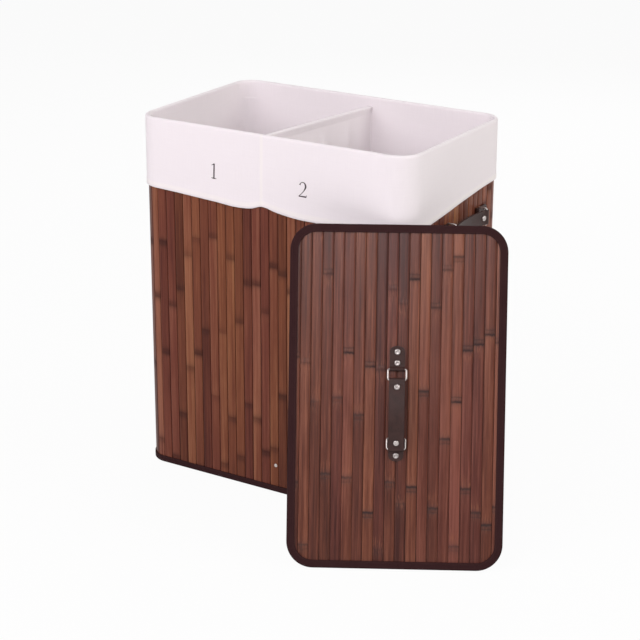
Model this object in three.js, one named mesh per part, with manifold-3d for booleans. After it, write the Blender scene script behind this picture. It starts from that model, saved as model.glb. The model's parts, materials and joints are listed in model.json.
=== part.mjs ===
// A laundry hamper with two bins: a wall of upright bamboo slats, a cotton liner with two bags whose
// cuff folds out over the rim, and a slatted lid that stands beside the hamper and leans on its corner.
// Millimetres, +Z up, +X to the right along the front. The origin is the middle of the base's underside.

import * as THREE from 'three';
import { mergeVertices } from 'three/addons/utils/BufferGeometryUtils.js';
import Module from 'manifold-3d';

const wasm = await Module();
wasm.setup();

// Hamper
const hamperLength = 520;
const hamperWidth = 325;
const hamperHeight = 628;
const cornerRadius = 36;

// Fits
const fitGap = 0.3;
const overrun = 6;

// Wall of slats on a cloth backing
const slatThickness = 2;
const frontSlats = 26;
const sideSlats = 15;
const cornerSlats = 4;
const grooveWidth = 1.2;
const grooveDepth = 1.1;
const backingThickness = 0.8;

// Tape folded round the edges, and the wire inside it
const tapeThickness = 0.9;
const topTapeHeight = 14;
const bottomTapeHeight = 12;
const frameWireDiameter = 3;

// Base
const boardThickness = 4;
const barThickness = 8;
const barHeight = 20;
const barCentreHeight = 50;
const barRightOfMiddle = 12;

// Liner
const clothThickness = 0.8;
const cuffDrop = 120;
const cuffInnerDrop = 30;
const cuffFoldBevel = 0.5;
const dividerFrontLeft = 12;
const dividerBackRight = 6;
const dividerHemThickness = 2.2;
const dividerHemHeight = 13;
const dividerFrontBelowTop = 2;
const dividerBackBelowTop = 16;
const bagInnerCornerRadius = 10;
const bagOverBar = 2;

// Lid
const lidLength = 541;
const lidWidth = 339;
const lidCornerRadius = 41;
const lidSlats = 20;
const lidBoardThickness = 2.4;
const lidLiningThickness = 0.6;
const lidTapeFace = 12;
const lidTurnDegrees = 29.4;
const lidLeanDegrees = 17.1;
const lidContactGap = 0.3;

// Handles: a strap on two wire rings, each ring held by a folded tab
const ringWireDiameter = 3;
const ringWidth = 32;
const ringBarSpacing = 17.5;
const ringCornerRadius = 3.3;
const tabWidth = 23.5;
const tabEndRadius = 9;
const tabBeyondFarRivet = 9;
const leatherThickness = 1.6;
const tabPivotSpacing = 109;
const pivotToNearRivet = 9.8;
const rivetSpacing = 17.3;
const strapWidth = 25;
const lidStrapBow = 12;
const sideStrapBow = -6;
const lidStrapRivetPlace = 12;
const sideStrapRivetPlace = 10;
const strapHangGap = 0.6;
const lidHandleBelowMiddle = 9;
const sideHandleBelowTop = 150;
const sideHandleBehindMiddle = 14;
const sideRingDegrees = 90;

// Rivets
const shankDiameter = 3.2;
const rivetHeadDiameter = 9.5;
const rivetHeadHeight = 2;
const rivetBackDiameter = 8;
const rivetBackHeight = 0.8;
const rivetDimpleDiameter = 3;
const rivetDimpleDepth = 0.7;
const headShoulderShare = 0.7;
const barRivetHeadDiameter = 6.5;
const barRivetHeadHeight = 1.4;
const barRivetDepth = 16;

// Round shapes are drawn with these many sides
const wireSides = 8;
const rivetSides = 10;
const foldSteps = 6;
const strapSteps = 14;
const tabEndSteps = 3;
const ringCornerSteps = 3;
const lidCornerSteps = 6;
const bagInnerCornerSteps = 3;
const cuffFrontSteps = 20;
const cuffSideSteps = 8;

// Insets of the wall's layers from the outer face of the slats
const backingInset = slatThickness + fitGap;
const wallThickness = backingInset + backingThickness;
const insideInset = wallThickness + fitGap;
const linerInset = insideInset + tapeThickness + fitGap;
const tapeOuterInset = -(fitGap + tapeThickness);
const cuffOuterInset = tapeOuterInset - fitGap - clothThickness;

const sideHandleHeight = hamperHeight - sideHandleBelowTop;

// Heights of the wall and of the wires that lie along its edges, inside the folds of tape
const topTapeTop = hamperHeight - clothThickness - fitGap;
const topWireCentre = topTapeTop - tapeThickness - fitGap - frameWireDiameter / 2;
const bottomWireCentre = tapeThickness + fitGap + frameWireDiameter / 2;
const wallTop = topWireCentre - frameWireDiameter / 2 - fitGap;
const wallBottom = bottomWireCentre + frameWireDiameter / 2 + fitGap;

// The lid's layers, counted from its inner face
const lidLiningBottom = tapeThickness + fitGap;
const lidBoardBottom = lidLiningBottom + lidLiningThickness + fitGap;
const lidSlatBottom = lidBoardBottom + lidBoardThickness + fitGap;
const lidSlatTop = lidSlatBottom + slatThickness;
const lidThickness = lidSlatTop + fitGap + tapeThickness;
const lidLayerInset = tapeThickness + fitGap;

// The fold of leather round a ring's bar, and how far a hanging ring stands off
const loopHoleRadius = ringWireDiameter / 2 + fitGap;
const loopRadius = loopHoleRadius + leatherThickness;
const pivotHeight = fitGap + loopRadius;
const tabTop = fitGap + 2 * leatherThickness;
const rivetTop = tabTop + fitGap + rivetHeadHeight;
const hangRise = rivetTop + strapHangGap + loopRadius - pivotHeight;
const hangAngle = Math.asin(hangRise / ringBarSpacing);

// Materials
function finish(color, roughness, metalness) {
  return new THREE.MeshStandardMaterial({ color, roughness, metalness });
}
const slatWood = () => finish('#7c4a38', 0.5, 0);
const lidWood = () => finish('#80503f', 0.5, 0);
const tapeCloth = () => finish('#3c2629', 0.85, 0);
const cottonCloth = () => finish('#efe8ec', 0.9, 0);
const backingCloth = () => finish('#5a4338', 0.9, 0);
const boardFinish = () => finish('#3a3231', 0.8, 0);
const barWood = () => finish('#8a6a4c', 0.6, 0);
const leather = () => finish('#3d2e2b', 0.55, 0);
const nickel = () => finish('#c9c6c4', 0.25, 1);
const steelWire = () => finish('#8d8f92', 0.4, 1);

// One named piece
function piece(name, geometry, material) {
  const mesh = new THREE.Mesh(geometry, material);
  mesh.name = name;
  return mesh;
}

// Signed volume of a triangle mesh, positive when its faces point out
function signedVolume(positions, index) {
  const corner = (i) => new THREE.Vector3().fromArray(positions, index[i] * 3);
  let volume = 0;
  for (let i = 0; i < index.length; i += 3) {
    volume += corner(i).dot(corner(i + 1).cross(corner(i + 2))) / 6;
  }
  return volume;
}

// Closed solid from rows of points: every row is a closed loop with as many points as the others.
// Either the last row joins the first again, or both end rows are closed with a fan.
function solidFromRows(rows, joinsUp) {
  const count = rows[0].length;
  const positions = rows.flatMap((row) => row.flatMap((p) => [p.x, p.y, p.z]));
  const index = [];
  const lastRow = joinsUp ? rows.length : rows.length - 1;
  for (let r = 0; r < lastRow; r += 1) {
    const next = (r + 1) % rows.length;
    for (let i = 0; i < count; i += 1) {
      const j = (i + 1) % count;
      const [a, b, c, d] = [r * count + i, r * count + j, next * count + j, next * count + i];
      index.push(a, b, c, a, c, d);
    }
  }
  if (!joinsUp) {
    for (const [r, flips] of [[0, true], [rows.length - 1, false]]) {
      const middle = rows[r].reduce((sum, p) => sum.add(p), new THREE.Vector3());
      middle.divideScalar(count);
      const hub = positions.length / 3;
      positions.push(middle.x, middle.y, middle.z);
      for (let i = 0; i < count; i += 1) {
        const [a, b] = [r * count + i, r * count + (i + 1) % count];
        index.push(...(flips ? [hub, b, a] : [hub, a, b]));
      }
    }
  }
  if (signedVolume(positions, index) < 0) index.reverse();
  const geometry = new THREE.BufferGeometry();
  geometry.setAttribute('position', new THREE.Float32BufferAttribute(positions, 3));
  geometry.setIndex(index);
  geometry.computeVertexNormals();
  return geometry;
}

// Boolean joins and cuts
function toManifold(geometry) {
  const bare = geometry.clone();
  bare.deleteAttribute('normal');
  bare.deleteAttribute('uv');
  const merged = mergeVertices(bare);
  return new wasm.Manifold(new wasm.Mesh({
    numProp: 3,
    vertProperties: new Float32Array(merged.attributes.position.array),
    triVerts: new Uint32Array(merged.index.array),
  }));
}

function fromManifold(solid) {
  const mesh = solid.getMesh();
  const geometry = new THREE.BufferGeometry();
  geometry.setAttribute('position', new THREE.Float32BufferAttribute(mesh.vertProperties, 3));
  geometry.setIndex(Array.from(mesh.triVerts));
  geometry.computeVertexNormals();
  return geometry;
}

function cut(geometry, ...tools) {
  return fromManifold(tools.reduce((solid, tool) => solid.subtract(toManifold(tool)), toManifold(geometry)));
}

function join(...geometries) {
  return fromManifold(geometries.map(toManifold).reduce((a, b) => a.add(b)));
}

function intersect(first, second) {
  return fromManifold(toManifold(first).intersect(toManifold(second)));
}

// Flat plate: an outline in X and Y, from one height to another
function plate(points, bottom, top, holes = []) {
  const shape = new THREE.Shape(points);
  shape.holes = holes.map((hole) => new THREE.Path(hole));
  const geometry = new THREE.ExtrudeGeometry(shape, { depth: top - bottom, bevelEnabled: false });
  return geometry.translate(0, 0, bottom);
}

// Round rod along Z
function rod(diameter, bottom, top, sides = rivetSides) {
  const geometry = new THREE.CylinderGeometry(diameter / 2, diameter / 2, top - bottom, sides);
  return geometry.rotateX(Math.PI / 2).translate(0, 0, (top + bottom) / 2);
}

// Stations round a rounded rectangle, each a point on it with its outward normal.
// The corners turn in cornerSteps, and the sides are split into lengthSteps and widthSteps.
function stationsRound(length, width, radius, cornerSteps, lengthSteps = 1, widthSteps = 1) {
  const halfLength = length / 2 - radius;
  const halfWidth = width / 2 - radius;
  const corners = [[1, -1], [1, 1], [-1, 1], [-1, -1]];
  const stations = [];
  corners.forEach(([sx, sy], k) => {
    for (let i = 0; i <= cornerSteps; i += 1) {
      const angle = (k - 1 + i / cornerSteps) * Math.PI / 2;
      const normal = new THREE.Vector2(Math.cos(angle), Math.sin(angle));
      const centre = new THREE.Vector2(sx * halfLength, sy * halfWidth);
      stations.push({ point: centre.addScaledVector(normal, radius), normal });
    }
    const [nx, ny] = corners[(k + 1) % corners.length];
    const start = stations[stations.length - 1];
    const along = new THREE.Vector2((nx - sx) * halfLength, (ny - sy) * halfWidth);
    const steps = k % 2 ? lengthSteps : widthSteps;
    for (let i = 1; i < steps; i += 1) {
      stations.push({ point: start.point.clone().addScaledVector(along, i / steps), normal: start.normal });
    }
  });
  return stations;
}

// The point that lies an inset inside a station
function insetPoint({ point, normal }, inset) {
  return point.clone().addScaledVector(normal, -inset);
}

function insetOutline(stations, inset) {
  return stations.map((station) => insetPoint(station, inset));
}

// Ring with one section all round, its points given as inset and height
function ringSolid(stations, section) {
  const rows = section.map(([inset, height]) => stations.map((station) => {
    const { x, y } = insetPoint(station, inset);
    return new THREE.Vector3(x, y, height);
  }));
  return solidFromRows(rows, true);
}

function roundSection(diameter, inset, height) {
  return Array.from({ length: wireSides }, (_, i) => {
    const angle = (i + 0.5) / wireSides * 2 * Math.PI;
    const radius = diameter / 2;
    return [inset + radius * Math.cos(angle), height + radius * Math.sin(angle)];
  });
}

// Tape folded over an edge: up one face, across the edge, down the other
function tapeSection(outer, inner, edge, drop) {
  const inwards = Math.sign(drop) * tapeThickness;
  return [
    [outer, edge + drop], [outer, edge], [inner + tapeThickness, edge], [inner + tapeThickness, edge + drop],
    [inner, edge + drop], [inner, edge + inwards],
    [outer + tapeThickness, edge + inwards], [outer + tapeThickness, edge + drop],
  ];
}

const wallStations = stationsRound(hamperLength, hamperWidth, cornerRadius, cornerSlats);

// Wall

// Outline of the slats: a flat face for each, and a groove at each joint
function slatOutline() {
  const joints = stationsRound(
    hamperLength, hamperWidth, cornerRadius, cornerSlats, frontSlats, sideSlats,
  );
  return joints.flatMap((joint, i) => {
    const before = joints[(i + joints.length - 1) % joints.length].point;
    const after = joints[(i + 1) % joints.length].point;
    const toward = (to) => {
      const step = to.clone().sub(joint.point).setLength(grooveWidth / 2);
      return joint.point.clone().add(step);
    };
    return [toward(before), insetPoint(joint, grooveDepth), toward(after)];
  });
}

// Rods through the wall where the bar's and the side handles' rivets pass
function wallHoles() {
  const holeDiameter = shankDiameter + 2 * fitGap;
  const through = () => rod(holeDiameter, -overrun, overrun);
  const holes = [-1, 1].map((side) => through().rotateX(Math.PI / 2)
    .translate(barRightOfMiddle, side * hamperWidth / 2, barCentreHeight));
  for (const side of [-1, 1]) {
    for (const along of tabRivetPlaces()) {
      holes.push(through().rotateY(Math.PI / 2)
        .translate(side * hamperLength / 2, sideHandleBehindMiddle + along, sideHandleHeight));
    }
  }
  return holes;
}

function slatWall() {
  const inner = insetOutline(wallStations, slatThickness);
  return cut(plate(slatOutline(), wallBottom, wallTop, [inner]), ...wallHoles());
}

function wallBacking() {
  const section = [
    [backingInset, wallBottom], [backingInset, wallTop], [wallThickness, wallTop],
    [wallThickness, wallBottom],
  ];
  return cut(ringSolid(wallStations, section), ...wallHoles());
}

function topTape() {
  return ringSolid(wallStations, tapeSection(tapeOuterInset, insideInset, topTapeTop, -topTapeHeight));
}

function bottomTape() {
  return ringSolid(wallStations, tapeSection(tapeOuterInset, insideInset, 0, bottomTapeHeight));
}

function frameWire(height) {
  return ringSolid(wallStations, roundSection(frameWireDiameter, wallThickness / 2, height));
}

// Base

function baseBoard() {
  return plate(insetOutline(wallStations, linerInset), 0, boardThickness);
}

// Bar across the base, with a hole in each end for its rivet
function crossBar() {
  const length = hamperWidth - 2 * insideInset;
  const bar = new THREE.BoxGeometry(barThickness, length, barHeight);
  const holeDiameter = shankDiameter + 2 * fitGap;
  const reach = barRivetDepth + fitGap;
  const holes = [-1, 1].map((side) => rod(holeDiameter, -reach, reach).rotateX(Math.PI / 2)
    .translate(0, side * length / 2, 0));
  return cut(bar, ...holes).translate(barRightOfMiddle, 0, barCentreHeight);
}

// Liner

// Hem of the cuff, for the front, right, back and left side in turn: the place along the side as a
// share of its length, and the drop below the rim as a share of the cuff's drop. The sides run on
// round the hamper, seen from above against the clock. A seam pulls the front's hem up to a point.
const hemShares = [
  [
    [0.06, 1.0], [0.3, 1.05], [0.395, 1.07], [0.44, 1.05], [0.478, 1.0], [0.53, 1.045], [0.6, 1.085],
    [0.68, 1.092], [0.95, 1.07],
  ],
  [[0.2, 1.035], [0.5, 0.955], [0.88, 0.865]],
  [[0.1, 0.86], [0.4, 0.9], [0.5, 0.87], [0.6, 0.91], [0.9, 0.95]],
  [[0.1, 0.96], [0.5, 1.01], [0.9, 0.99]],
];

function hemInterpolant() {
  const sides = hemShares.length;
  const knots = hemShares.flatMap((side, k) => side.map(([share, drop]) => [k + share, drop]));
  const [first, last] = [knots[0], knots[knots.length - 1]];
  const closed = [[last[0] - sides, last[1]], ...knots, [first[0] + sides, first[1]]];
  const places = closed.map(([place]) => place);
  const drops = closed.map(([, drop]) => drop);
  return new THREE.CubicInterpolant(places, drops, 1, new Float32Array(1));
}

// Side of the square outline that a point is nearest to, and how far along it the point is
function placeRound({ x, y }) {
  const [right, back] = [x / hamperLength, y / hamperWidth];
  const sides = [
    [-back * hamperWidth, 0.5 + right], [right * hamperLength, 0.5 + back],
    [back * hamperWidth, 0.5 - right], [-right * hamperLength, 0.5 - back],
  ];
  const reaches = sides.map(([reach], k) => reach - (k % 2 ? hamperLength : hamperWidth) / 2);
  const nearest = reaches.indexOf(Math.max(...reaches));
  return nearest + sides[nearest][1];
}

// Cuff: up the outside from the hem, over the rim, and a little way down the inside
function linerCuff() {
  const stations = stationsRound(
    hamperLength, hamperWidth, cornerRadius, cornerSlats, cuffFrontSteps, cuffSideSteps,
  );
  const hem = hemInterpolant();
  const outerBack = cuffOuterInset + clothThickness;
  const innerFace = linerInset + clothThickness;
  const top = hamperHeight;
  const under = top - clothThickness;
  const innerEnd = top - cuffInnerDrop;
  const section = [
    [cuffOuterInset], [cuffOuterInset, top - cuffFoldBevel], [cuffOuterInset + cuffFoldBevel, top],
    [innerFace - cuffFoldBevel, top], [innerFace, top - cuffFoldBevel], [innerFace, innerEnd],
    [linerInset, innerEnd], [linerInset, under], [outerBack, under], [outerBack],
  ];
  const rows = section.map(([inset, height]) => stations.map((station) => {
    const { x, y } = insetPoint(station, inset);
    const [share] = hem.evaluate(placeRound(station.point));
    return new THREE.Vector3(x, y, height ?? top - cuffDrop * share);
  }));
  return solidFromRows(rows, true);
}

// Line of the divider in plan, from front to back, and the height of its top edge
function dividerX(y) {
  const half = hamperWidth / 2;
  return THREE.MathUtils.mapLinear(y, -half, half, -dividerFrontLeft, dividerBackRight);
}

function dividerTop(y) {
  const half = hamperWidth / 2;
  return hamperHeight - THREE.MathUtils.mapLinear(y, -half, half, dividerFrontBelowTop, dividerBackBelowTop);
}

// Folded band along the divider's top edge
function dividerHem() {
  const reach = hamperWidth / 2 - linerInset - clothThickness - fitGap;
  const half = dividerHemThickness / 2;
  const rows = [-reach, reach].map((y) => {
    const [x, top] = [dividerX(y), dividerTop(y)];
    const corners = [
      [-half, -dividerHemHeight], [half, -dividerHemHeight], [half, 0], [-half, 0],
    ];
    return corners.map(([across, up]) => new THREE.Vector3(x + across, y, top + up));
  });
  return solidFromRows(rows, false);
}

// Where a bag's divider wall stands: it hangs along the divider's line, and at its foot it keeps
// clear of the cross bar. Side is -1 for the left bag and 1 for the right one.
function dividerWallX(side, y, atFoot) {
  const hanging = dividerX(y) + side * fitGap / 2;
  const besideBar = barRightOfMiddle + side * (barThickness / 2 + fitGap);
  return atFoot ? side * Math.max(side * hanging, side * besideBar) : hanging;
}

// Outline of one bag at its foot or its top, moved in from its outer face
function bagOutline(side, inset, atFoot) {
  const reachX = hamperLength / 2 - linerInset - inset;
  const reachY = hamperWidth / 2 - linerInset - inset;
  const corners = [[1, -1], [1, 1], [-1, 1], [-1, -1]];
  return corners.flatMap(([sx, sy], k) => {
    const isOuter = sx === side;
    const y = sy * reachY;
    const x = isOuter ? side * reachX : dividerWallX(side, y, atFoot) + side * inset;
    const radius = (isOuter ? cornerRadius - linerInset : bagInnerCornerRadius) - inset;
    const steps = isOuter ? cornerSlats : bagInnerCornerSteps;
    return Array.from({ length: steps + 1 }, (_, i) => {
      const angle = (k - 1 + i / steps) * Math.PI / 2;
      return new THREE.Vector2(
        x + radius * (Math.cos(angle) - sx), y + radius * (Math.sin(angle) - sy),
      );
    });
  });
}

// One bag, open at the top. Its outer walls end under the cuff and its inner one under the band.
function bag(side) {
  const floor = boardThickness + fitGap;
  const overBar = barCentreHeight + barHeight / 2 + bagOverBar;
  const outerTop = hamperHeight - cuffInnerDrop - fitGap;
  const level = (inset, atFoot, height) => bagOutline(side, inset, atFoot).map(
    ({ x, y }) => new THREE.Vector3(x, y, height),
  );
  const rim = (inset) => bagOutline(side, inset, false).map(({ x, y }) => {
    const fromDivider = side * (x - dividerWallX(side, y, false)) - inset;
    const isInner = fromDivider < bagInnerCornerRadius / bagInnerCornerSteps;
    return new THREE.Vector3(x, y, isInner ? dividerTop(y) - dividerHemHeight - fitGap : outerTop);
  });
  const rows = [
    level(0, true, floor), level(0, true, overBar), rim(0),
    rim(clothThickness), level(clothThickness, true, overBar),
    level(clothThickness, true, floor + clothThickness),
  ];
  return solidFromRows(rows, false);
}

// Lid, modelled lying flat: X across, Y from its bottom edge to its top edge, Z out of its front face

function lidStations() {
  const stations = stationsRound(lidWidth, lidLength, lidCornerRadius, lidCornerSteps);
  return stations.map(({ point, normal }) => ({
    point: point.add(new THREE.Vector2(0, lidLength / 2)), normal,
  }));
}

function lidHandlePlace() {
  return lidLength / 2 - lidHandleBelowMiddle;
}

function lidHoles() {
  const holeDiameter = shankDiameter + 2 * fitGap;
  return tabRivetPlaces().map((along) => rod(holeDiameter, -overrun, lidThickness + overrun)
    .translate(0, lidHandlePlace() + along, 0));
}

function lidLayer(bottom, thickness) {
  return plate(insetOutline(lidStations(), lidLayerInset), bottom, bottom + thickness);
}

// Slats that run from the lid's bottom edge to its top edge, with a groove at each joint
function lidSlatFace() {
  const half = lidWidth / 2;
  const pitch = lidWidth / lidSlats;
  const joints = Array.from({ length: lidSlats - 1 }, (_, i) => half - (i + 1) * pitch);
  const grooves = joints.flatMap((x) => [
    [x + grooveWidth / 2, lidSlatTop], [x, lidSlatTop - grooveDepth], [x - grooveWidth / 2, lidSlatTop],
  ]);
  const outline = [
    [-half, lidSlatBottom], [half, lidSlatBottom], [half, lidSlatTop], ...grooves, [-half, lidSlatTop],
  ];
  const shape = new THREE.Shape(outline.map(([x, z]) => new THREE.Vector2(x, z)));
  const slats = new THREE.ExtrudeGeometry(shape, { depth: lidLength, bevelEnabled: false });
  slats.rotateX(Math.PI / 2).translate(0, lidLength, 0);
  return intersect(slats, lidLayer(lidSlatBottom - overrun, slatThickness + 2 * overrun));
}

function lidTape() {
  const inner = lidTapeFace;
  const section = [
    [0, 0], [0, lidThickness], [inner, lidThickness], [inner, lidThickness - tapeThickness],
    [tapeThickness, lidThickness - tapeThickness], [tapeThickness, tapeThickness],
    [inner, tapeThickness], [inner, 0],
  ];
  return ringSolid(lidStations(), section);
}

// The lid leans: its top edge touches the cuff at the front right corner
function lidPlace() {
  const turn = THREE.MathUtils.degToRad(lidTurnDegrees);
  const lean = THREE.MathUtils.degToRad(lidLeanDegrees);
  const outward = new THREE.Vector2(Math.sin(turn), -Math.cos(turn));
  const away = cornerRadius - cuffOuterInset + lidContactGap / Math.cos(lean) + lidLength * Math.sin(lean);
  const foot = new THREE.Vector2(hamperLength / 2 - cornerRadius, cornerRadius - hamperWidth / 2);
  foot.addScaledVector(outward, away);
  const upright = new THREE.Group();
  upright.position.set(foot.x, foot.y, 0);
  upright.rotation.z = turn;
  const leaning = new THREE.Group();
  leaning.rotation.x = Math.PI / 2 - lean;
  upright.add(leaning);
  return { upright, leaning };
}

// Handle, modelled on a flat face: Y along the strap, Z out of the face, X across

// Where a handle's rivets go through its face, along the strap from its middle
function tabRivetPlaces() {
  const near = tabPivotSpacing / 2 + pivotToNearRivet;
  return [-near - rivetSpacing, -near, near, near + rivetSpacing];
}

// Solid with one outline in Y and Z, extruded across
function acrossSolid(shape, width) {
  const geometry = new THREE.ExtrudeGeometry(shape, { depth: width, bevelEnabled: false });
  geometry.translate(0, 0, -width / 2);
  const [x, y, z] = [new THREE.Vector3(1, 0, 0), new THREE.Vector3(0, 1, 0), new THREE.Vector3(0, 0, 1)];
  return geometry.applyMatrix4(new THREE.Matrix4().makeBasis(y, z, x));
}

function circlePoints(centreX, centreY, radius, from, to, steps) {
  return Array.from({ length: steps + 1 }, (_, i) => {
    const angle = from + (to - from) * i / steps;
    return new THREE.Vector2(centreX + radius * Math.cos(angle), centreY + radius * Math.sin(angle));
  });
}

function wireHole(centreX, centreY) {
  const round = circlePoints(centreX, centreY, loopHoleRadius, 0, 2 * Math.PI, wireSides);
  return new THREE.Path(round.slice(0, -1));
}

// Tab: a strip folded round the ring's bar, its two ends one on the other under the rivets.
// The bar is at Y = 0 and the tab runs towards +Y.
function tab() {
  const end = pivotToNearRivet + rivetSpacing + tabBeyondFarRivet;
  const shoulder = pivotToNearRivet - rivetHeadDiameter / 2 - fitGap;
  const toShoulder = Math.hypot(shoulder, tabTop - pivotHeight);
  const leaves = Math.acos(loopRadius / toShoulder) + Math.atan2(tabTop - pivotHeight, shoulder);
  const loop = circlePoints(0, pivotHeight, loopRadius, leaves, 1.5 * Math.PI, foldSteps);
  const shape = new THREE.Shape([
    new THREE.Vector2(end, fitGap), new THREE.Vector2(end, tabTop),
    new THREE.Vector2(shoulder, tabTop), ...loop,
  ]);
  shape.holes = [wireHole(0, pivotHeight)];
  const half = tabWidth / 2;
  const plan = [
    new THREE.Vector2(-half, -loopRadius - overrun), new THREE.Vector2(half, -loopRadius - overrun),
    ...circlePoints(half - tabEndRadius, end - tabEndRadius, tabEndRadius, 0, Math.PI / 2, tabEndSteps),
    ...circlePoints(tabEndRadius - half, end - tabEndRadius, tabEndRadius, Math.PI / 2, Math.PI, tabEndSteps),
  ];
  const strip = intersect(
    acrossSolid(shape, tabWidth + overrun), plate(plan, -overrun, pivotHeight + overrun),
  );
  const holeDiameter = shankDiameter + 2 * fitGap;
  const holes = [pivotToNearRivet, pivotToNearRivet + rivetSpacing].map(
    (along) => rod(holeDiameter, -overrun, tabTop + overrun).translate(0, along, 0),
  );
  return cut(strip, ...holes);
}

// Ring of wire, turned about the bar in the tab: at 0 degrees it lies towards -Y
function ring(angle) {
  const stations = stationsRound(
    ringWidth, ringBarSpacing + ringWireDiameter, ringCornerRadius, ringCornerSteps,
  );
  const wire = ringSolid(stations, roundSection(ringWireDiameter, ringWireDiameter / 2, 0));
  return wire.translate(0, -ringBarSpacing / 2, 0).rotateX(-angle);
}

// The strap's arc: its radius and the angle from its middle to an end
function strapArc(bow) {
  const half = tabPivotSpacing / 2;
  const radius = (half * half + bow * bow) / (2 * Math.abs(bow));
  return { radius, endAngle: Math.asin(half / radius), side: Math.sign(bow) };
}

function strapPoint({ radius, endAngle, side }, angle, offset) {
  const rise = (radius + side * offset) * Math.cos(angle) - radius * Math.cos(endAngle);
  return new THREE.Vector2((radius + side * offset) * Math.sin(angle), side * rise);
}

// Strap: two layers of leather bowed between the rings, folded round a bar at each end
function strap(bow, rivetPlace) {
  const arc = strapArc(bow);
  const angles = Array.from({ length: strapSteps + 1 }, (_, i) => arc.endAngle * (2 * i / strapSteps - 1));
  const lower = angles.map((angle) => strapPoint(arc, angle, -leatherThickness));
  const upper = angles.map((angle) => strapPoint(arc, -angle, leatherThickness));
  const body = acrossSolid(new THREE.Shape([...lower, ...upper]), strapWidth);
  const ends = [-1, 1].map((end) => {
    const { x: along, y: height } = strapPoint(arc, end * arc.endAngle, 0);
    return { along, height };
  });
  const loops = ends.map(({ along, height }) => acrossSolid(
    new THREE.Shape(circlePoints(along, height, loopRadius, 0, 2 * Math.PI, 2 * foldSteps).slice(0, -1)),
    strapWidth,
  ));
  const bars = ends.map(({ along, height }) => acrossSolid(
    new THREE.Shape(wireHole(along, height).getPoints()), strapWidth + overrun,
  ));
  const holeDiameter = shankDiameter + 2 * fitGap;
  const holes = [-1, 1].map((end) => placeOnStrap(
    rod(holeDiameter, -loopRadius - overrun, loopRadius + overrun), bow, rivetPlace, end,
  ));
  return cut(join(body, ...loops), ...bars, ...holes);
}

// Moves a piece that stands along Z onto the strap, where the rivet of one end goes through. The
// rivet's place is its distance along the strap from the bar that the strap's end turns on.
function placeOnStrap(geometry, bow, rivetPlace, end) {
  const arc = strapArc(bow);
  const angle = end * (arc.endAngle - rivetPlace / arc.radius);
  const { x: along, y: height } = strapPoint(arc, angle, 0);
  return geometry.rotateX(-arc.side * angle).translate(0, along, height);
}

// Rivet along Z: its head stands on a face at Z = 0, and its back holds a stack as thick as the grip
function rivet(grip) {
  const back = -grip - fitGap;
  const head = fitGap;
  const profile = [
    [0, back - rivetBackHeight], [rivetBackDiameter / 2, back - rivetBackHeight],
    [rivetBackDiameter / 2, back], [shankDiameter / 2, back], [shankDiameter / 2, head],
    [rivetHeadDiameter / 2, head], [rivetHeadDiameter / 2 * headShoulderShare, head + rivetHeadHeight],
    [rivetDimpleDiameter / 2, head + rivetHeadHeight], [0, head + rivetHeadHeight - rivetDimpleDepth],
  ];
  return turned(profile);
}

// Rivet that holds the cross bar: a head outside the wall and a shank into the bar's end
function barRivet() {
  const profile = [
    [0, -insideInset - barRivetDepth], [shankDiameter / 2, -insideInset - barRivetDepth],
    [shankDiameter / 2, fitGap], [barRivetHeadDiameter / 2, fitGap],
    [barRivetHeadDiameter / 2 * headShoulderShare, fitGap + barRivetHeadHeight],
    [0, fitGap + barRivetHeadHeight],
  ];
  return turned(profile);
}

// Turned piece along Z, its profile given as radius and height
function turned(profile) {
  const points = profile.map(([radius, height]) => new THREE.Vector2(radius, height));
  return new THREE.LatheGeometry(points, rivetSides).rotateX(Math.PI / 2);
}

// All pieces of one handle. The ends are named for +Y and -Y, and below is the thickness of the
// wall or lid that the tabs' rivets go through.
function handle(where, ends, { below, bow, rivetPlace, ringAngle }) {
  const group = new THREE.Group();
  const swing = new THREE.Vector3(
    0, -ringBarSpacing * Math.cos(ringAngle), pivotHeight + ringBarSpacing * Math.sin(ringAngle),
  );
  const strapMesh = piece(`${where}_strap`, strap(bow, rivetPlace), leather());
  strapMesh.position.copy(swing);
  group.add(strapMesh);
  ends.forEach((end, k) => {
    const side = k === 0 ? 1 : -1;
    const pivot = side * tabPivotSpacing / 2;
    const tabMesh = piece(`${where}_${end}_tab`, tab(), leather());
    tabMesh.position.y = pivot;
    tabMesh.rotation.z = side > 0 ? 0 : Math.PI;
    const ringMesh = piece(`${where}_${end}_ring`, ring(ringAngle), nickel());
    ringMesh.position.set(0, pivot, pivotHeight);
    const tabRivets = [pivotToNearRivet, pivotToNearRivet + rivetSpacing].map((along, i) => {
      const mesh = piece(`${where}_${end}_tab_rivet_${i + 1}`, rivet(tabTop + below), nickel());
      mesh.position.set(0, pivot + side * along, tabTop);
      return mesh;
    });
    const onLeather = rivet(2 * leatherThickness).translate(0, 0, leatherThickness);
    const onStrap = placeOnStrap(onLeather, bow, rivetPlace, side);
    const strapRivet = piece(`${where}_${end}_strap_rivet`, onStrap, nickel());
    strapRivet.position.copy(swing);
    group.add(tabMesh, ringMesh, ...tabRivets, strapRivet);
  });
  return group;
}

// Assembly

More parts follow.
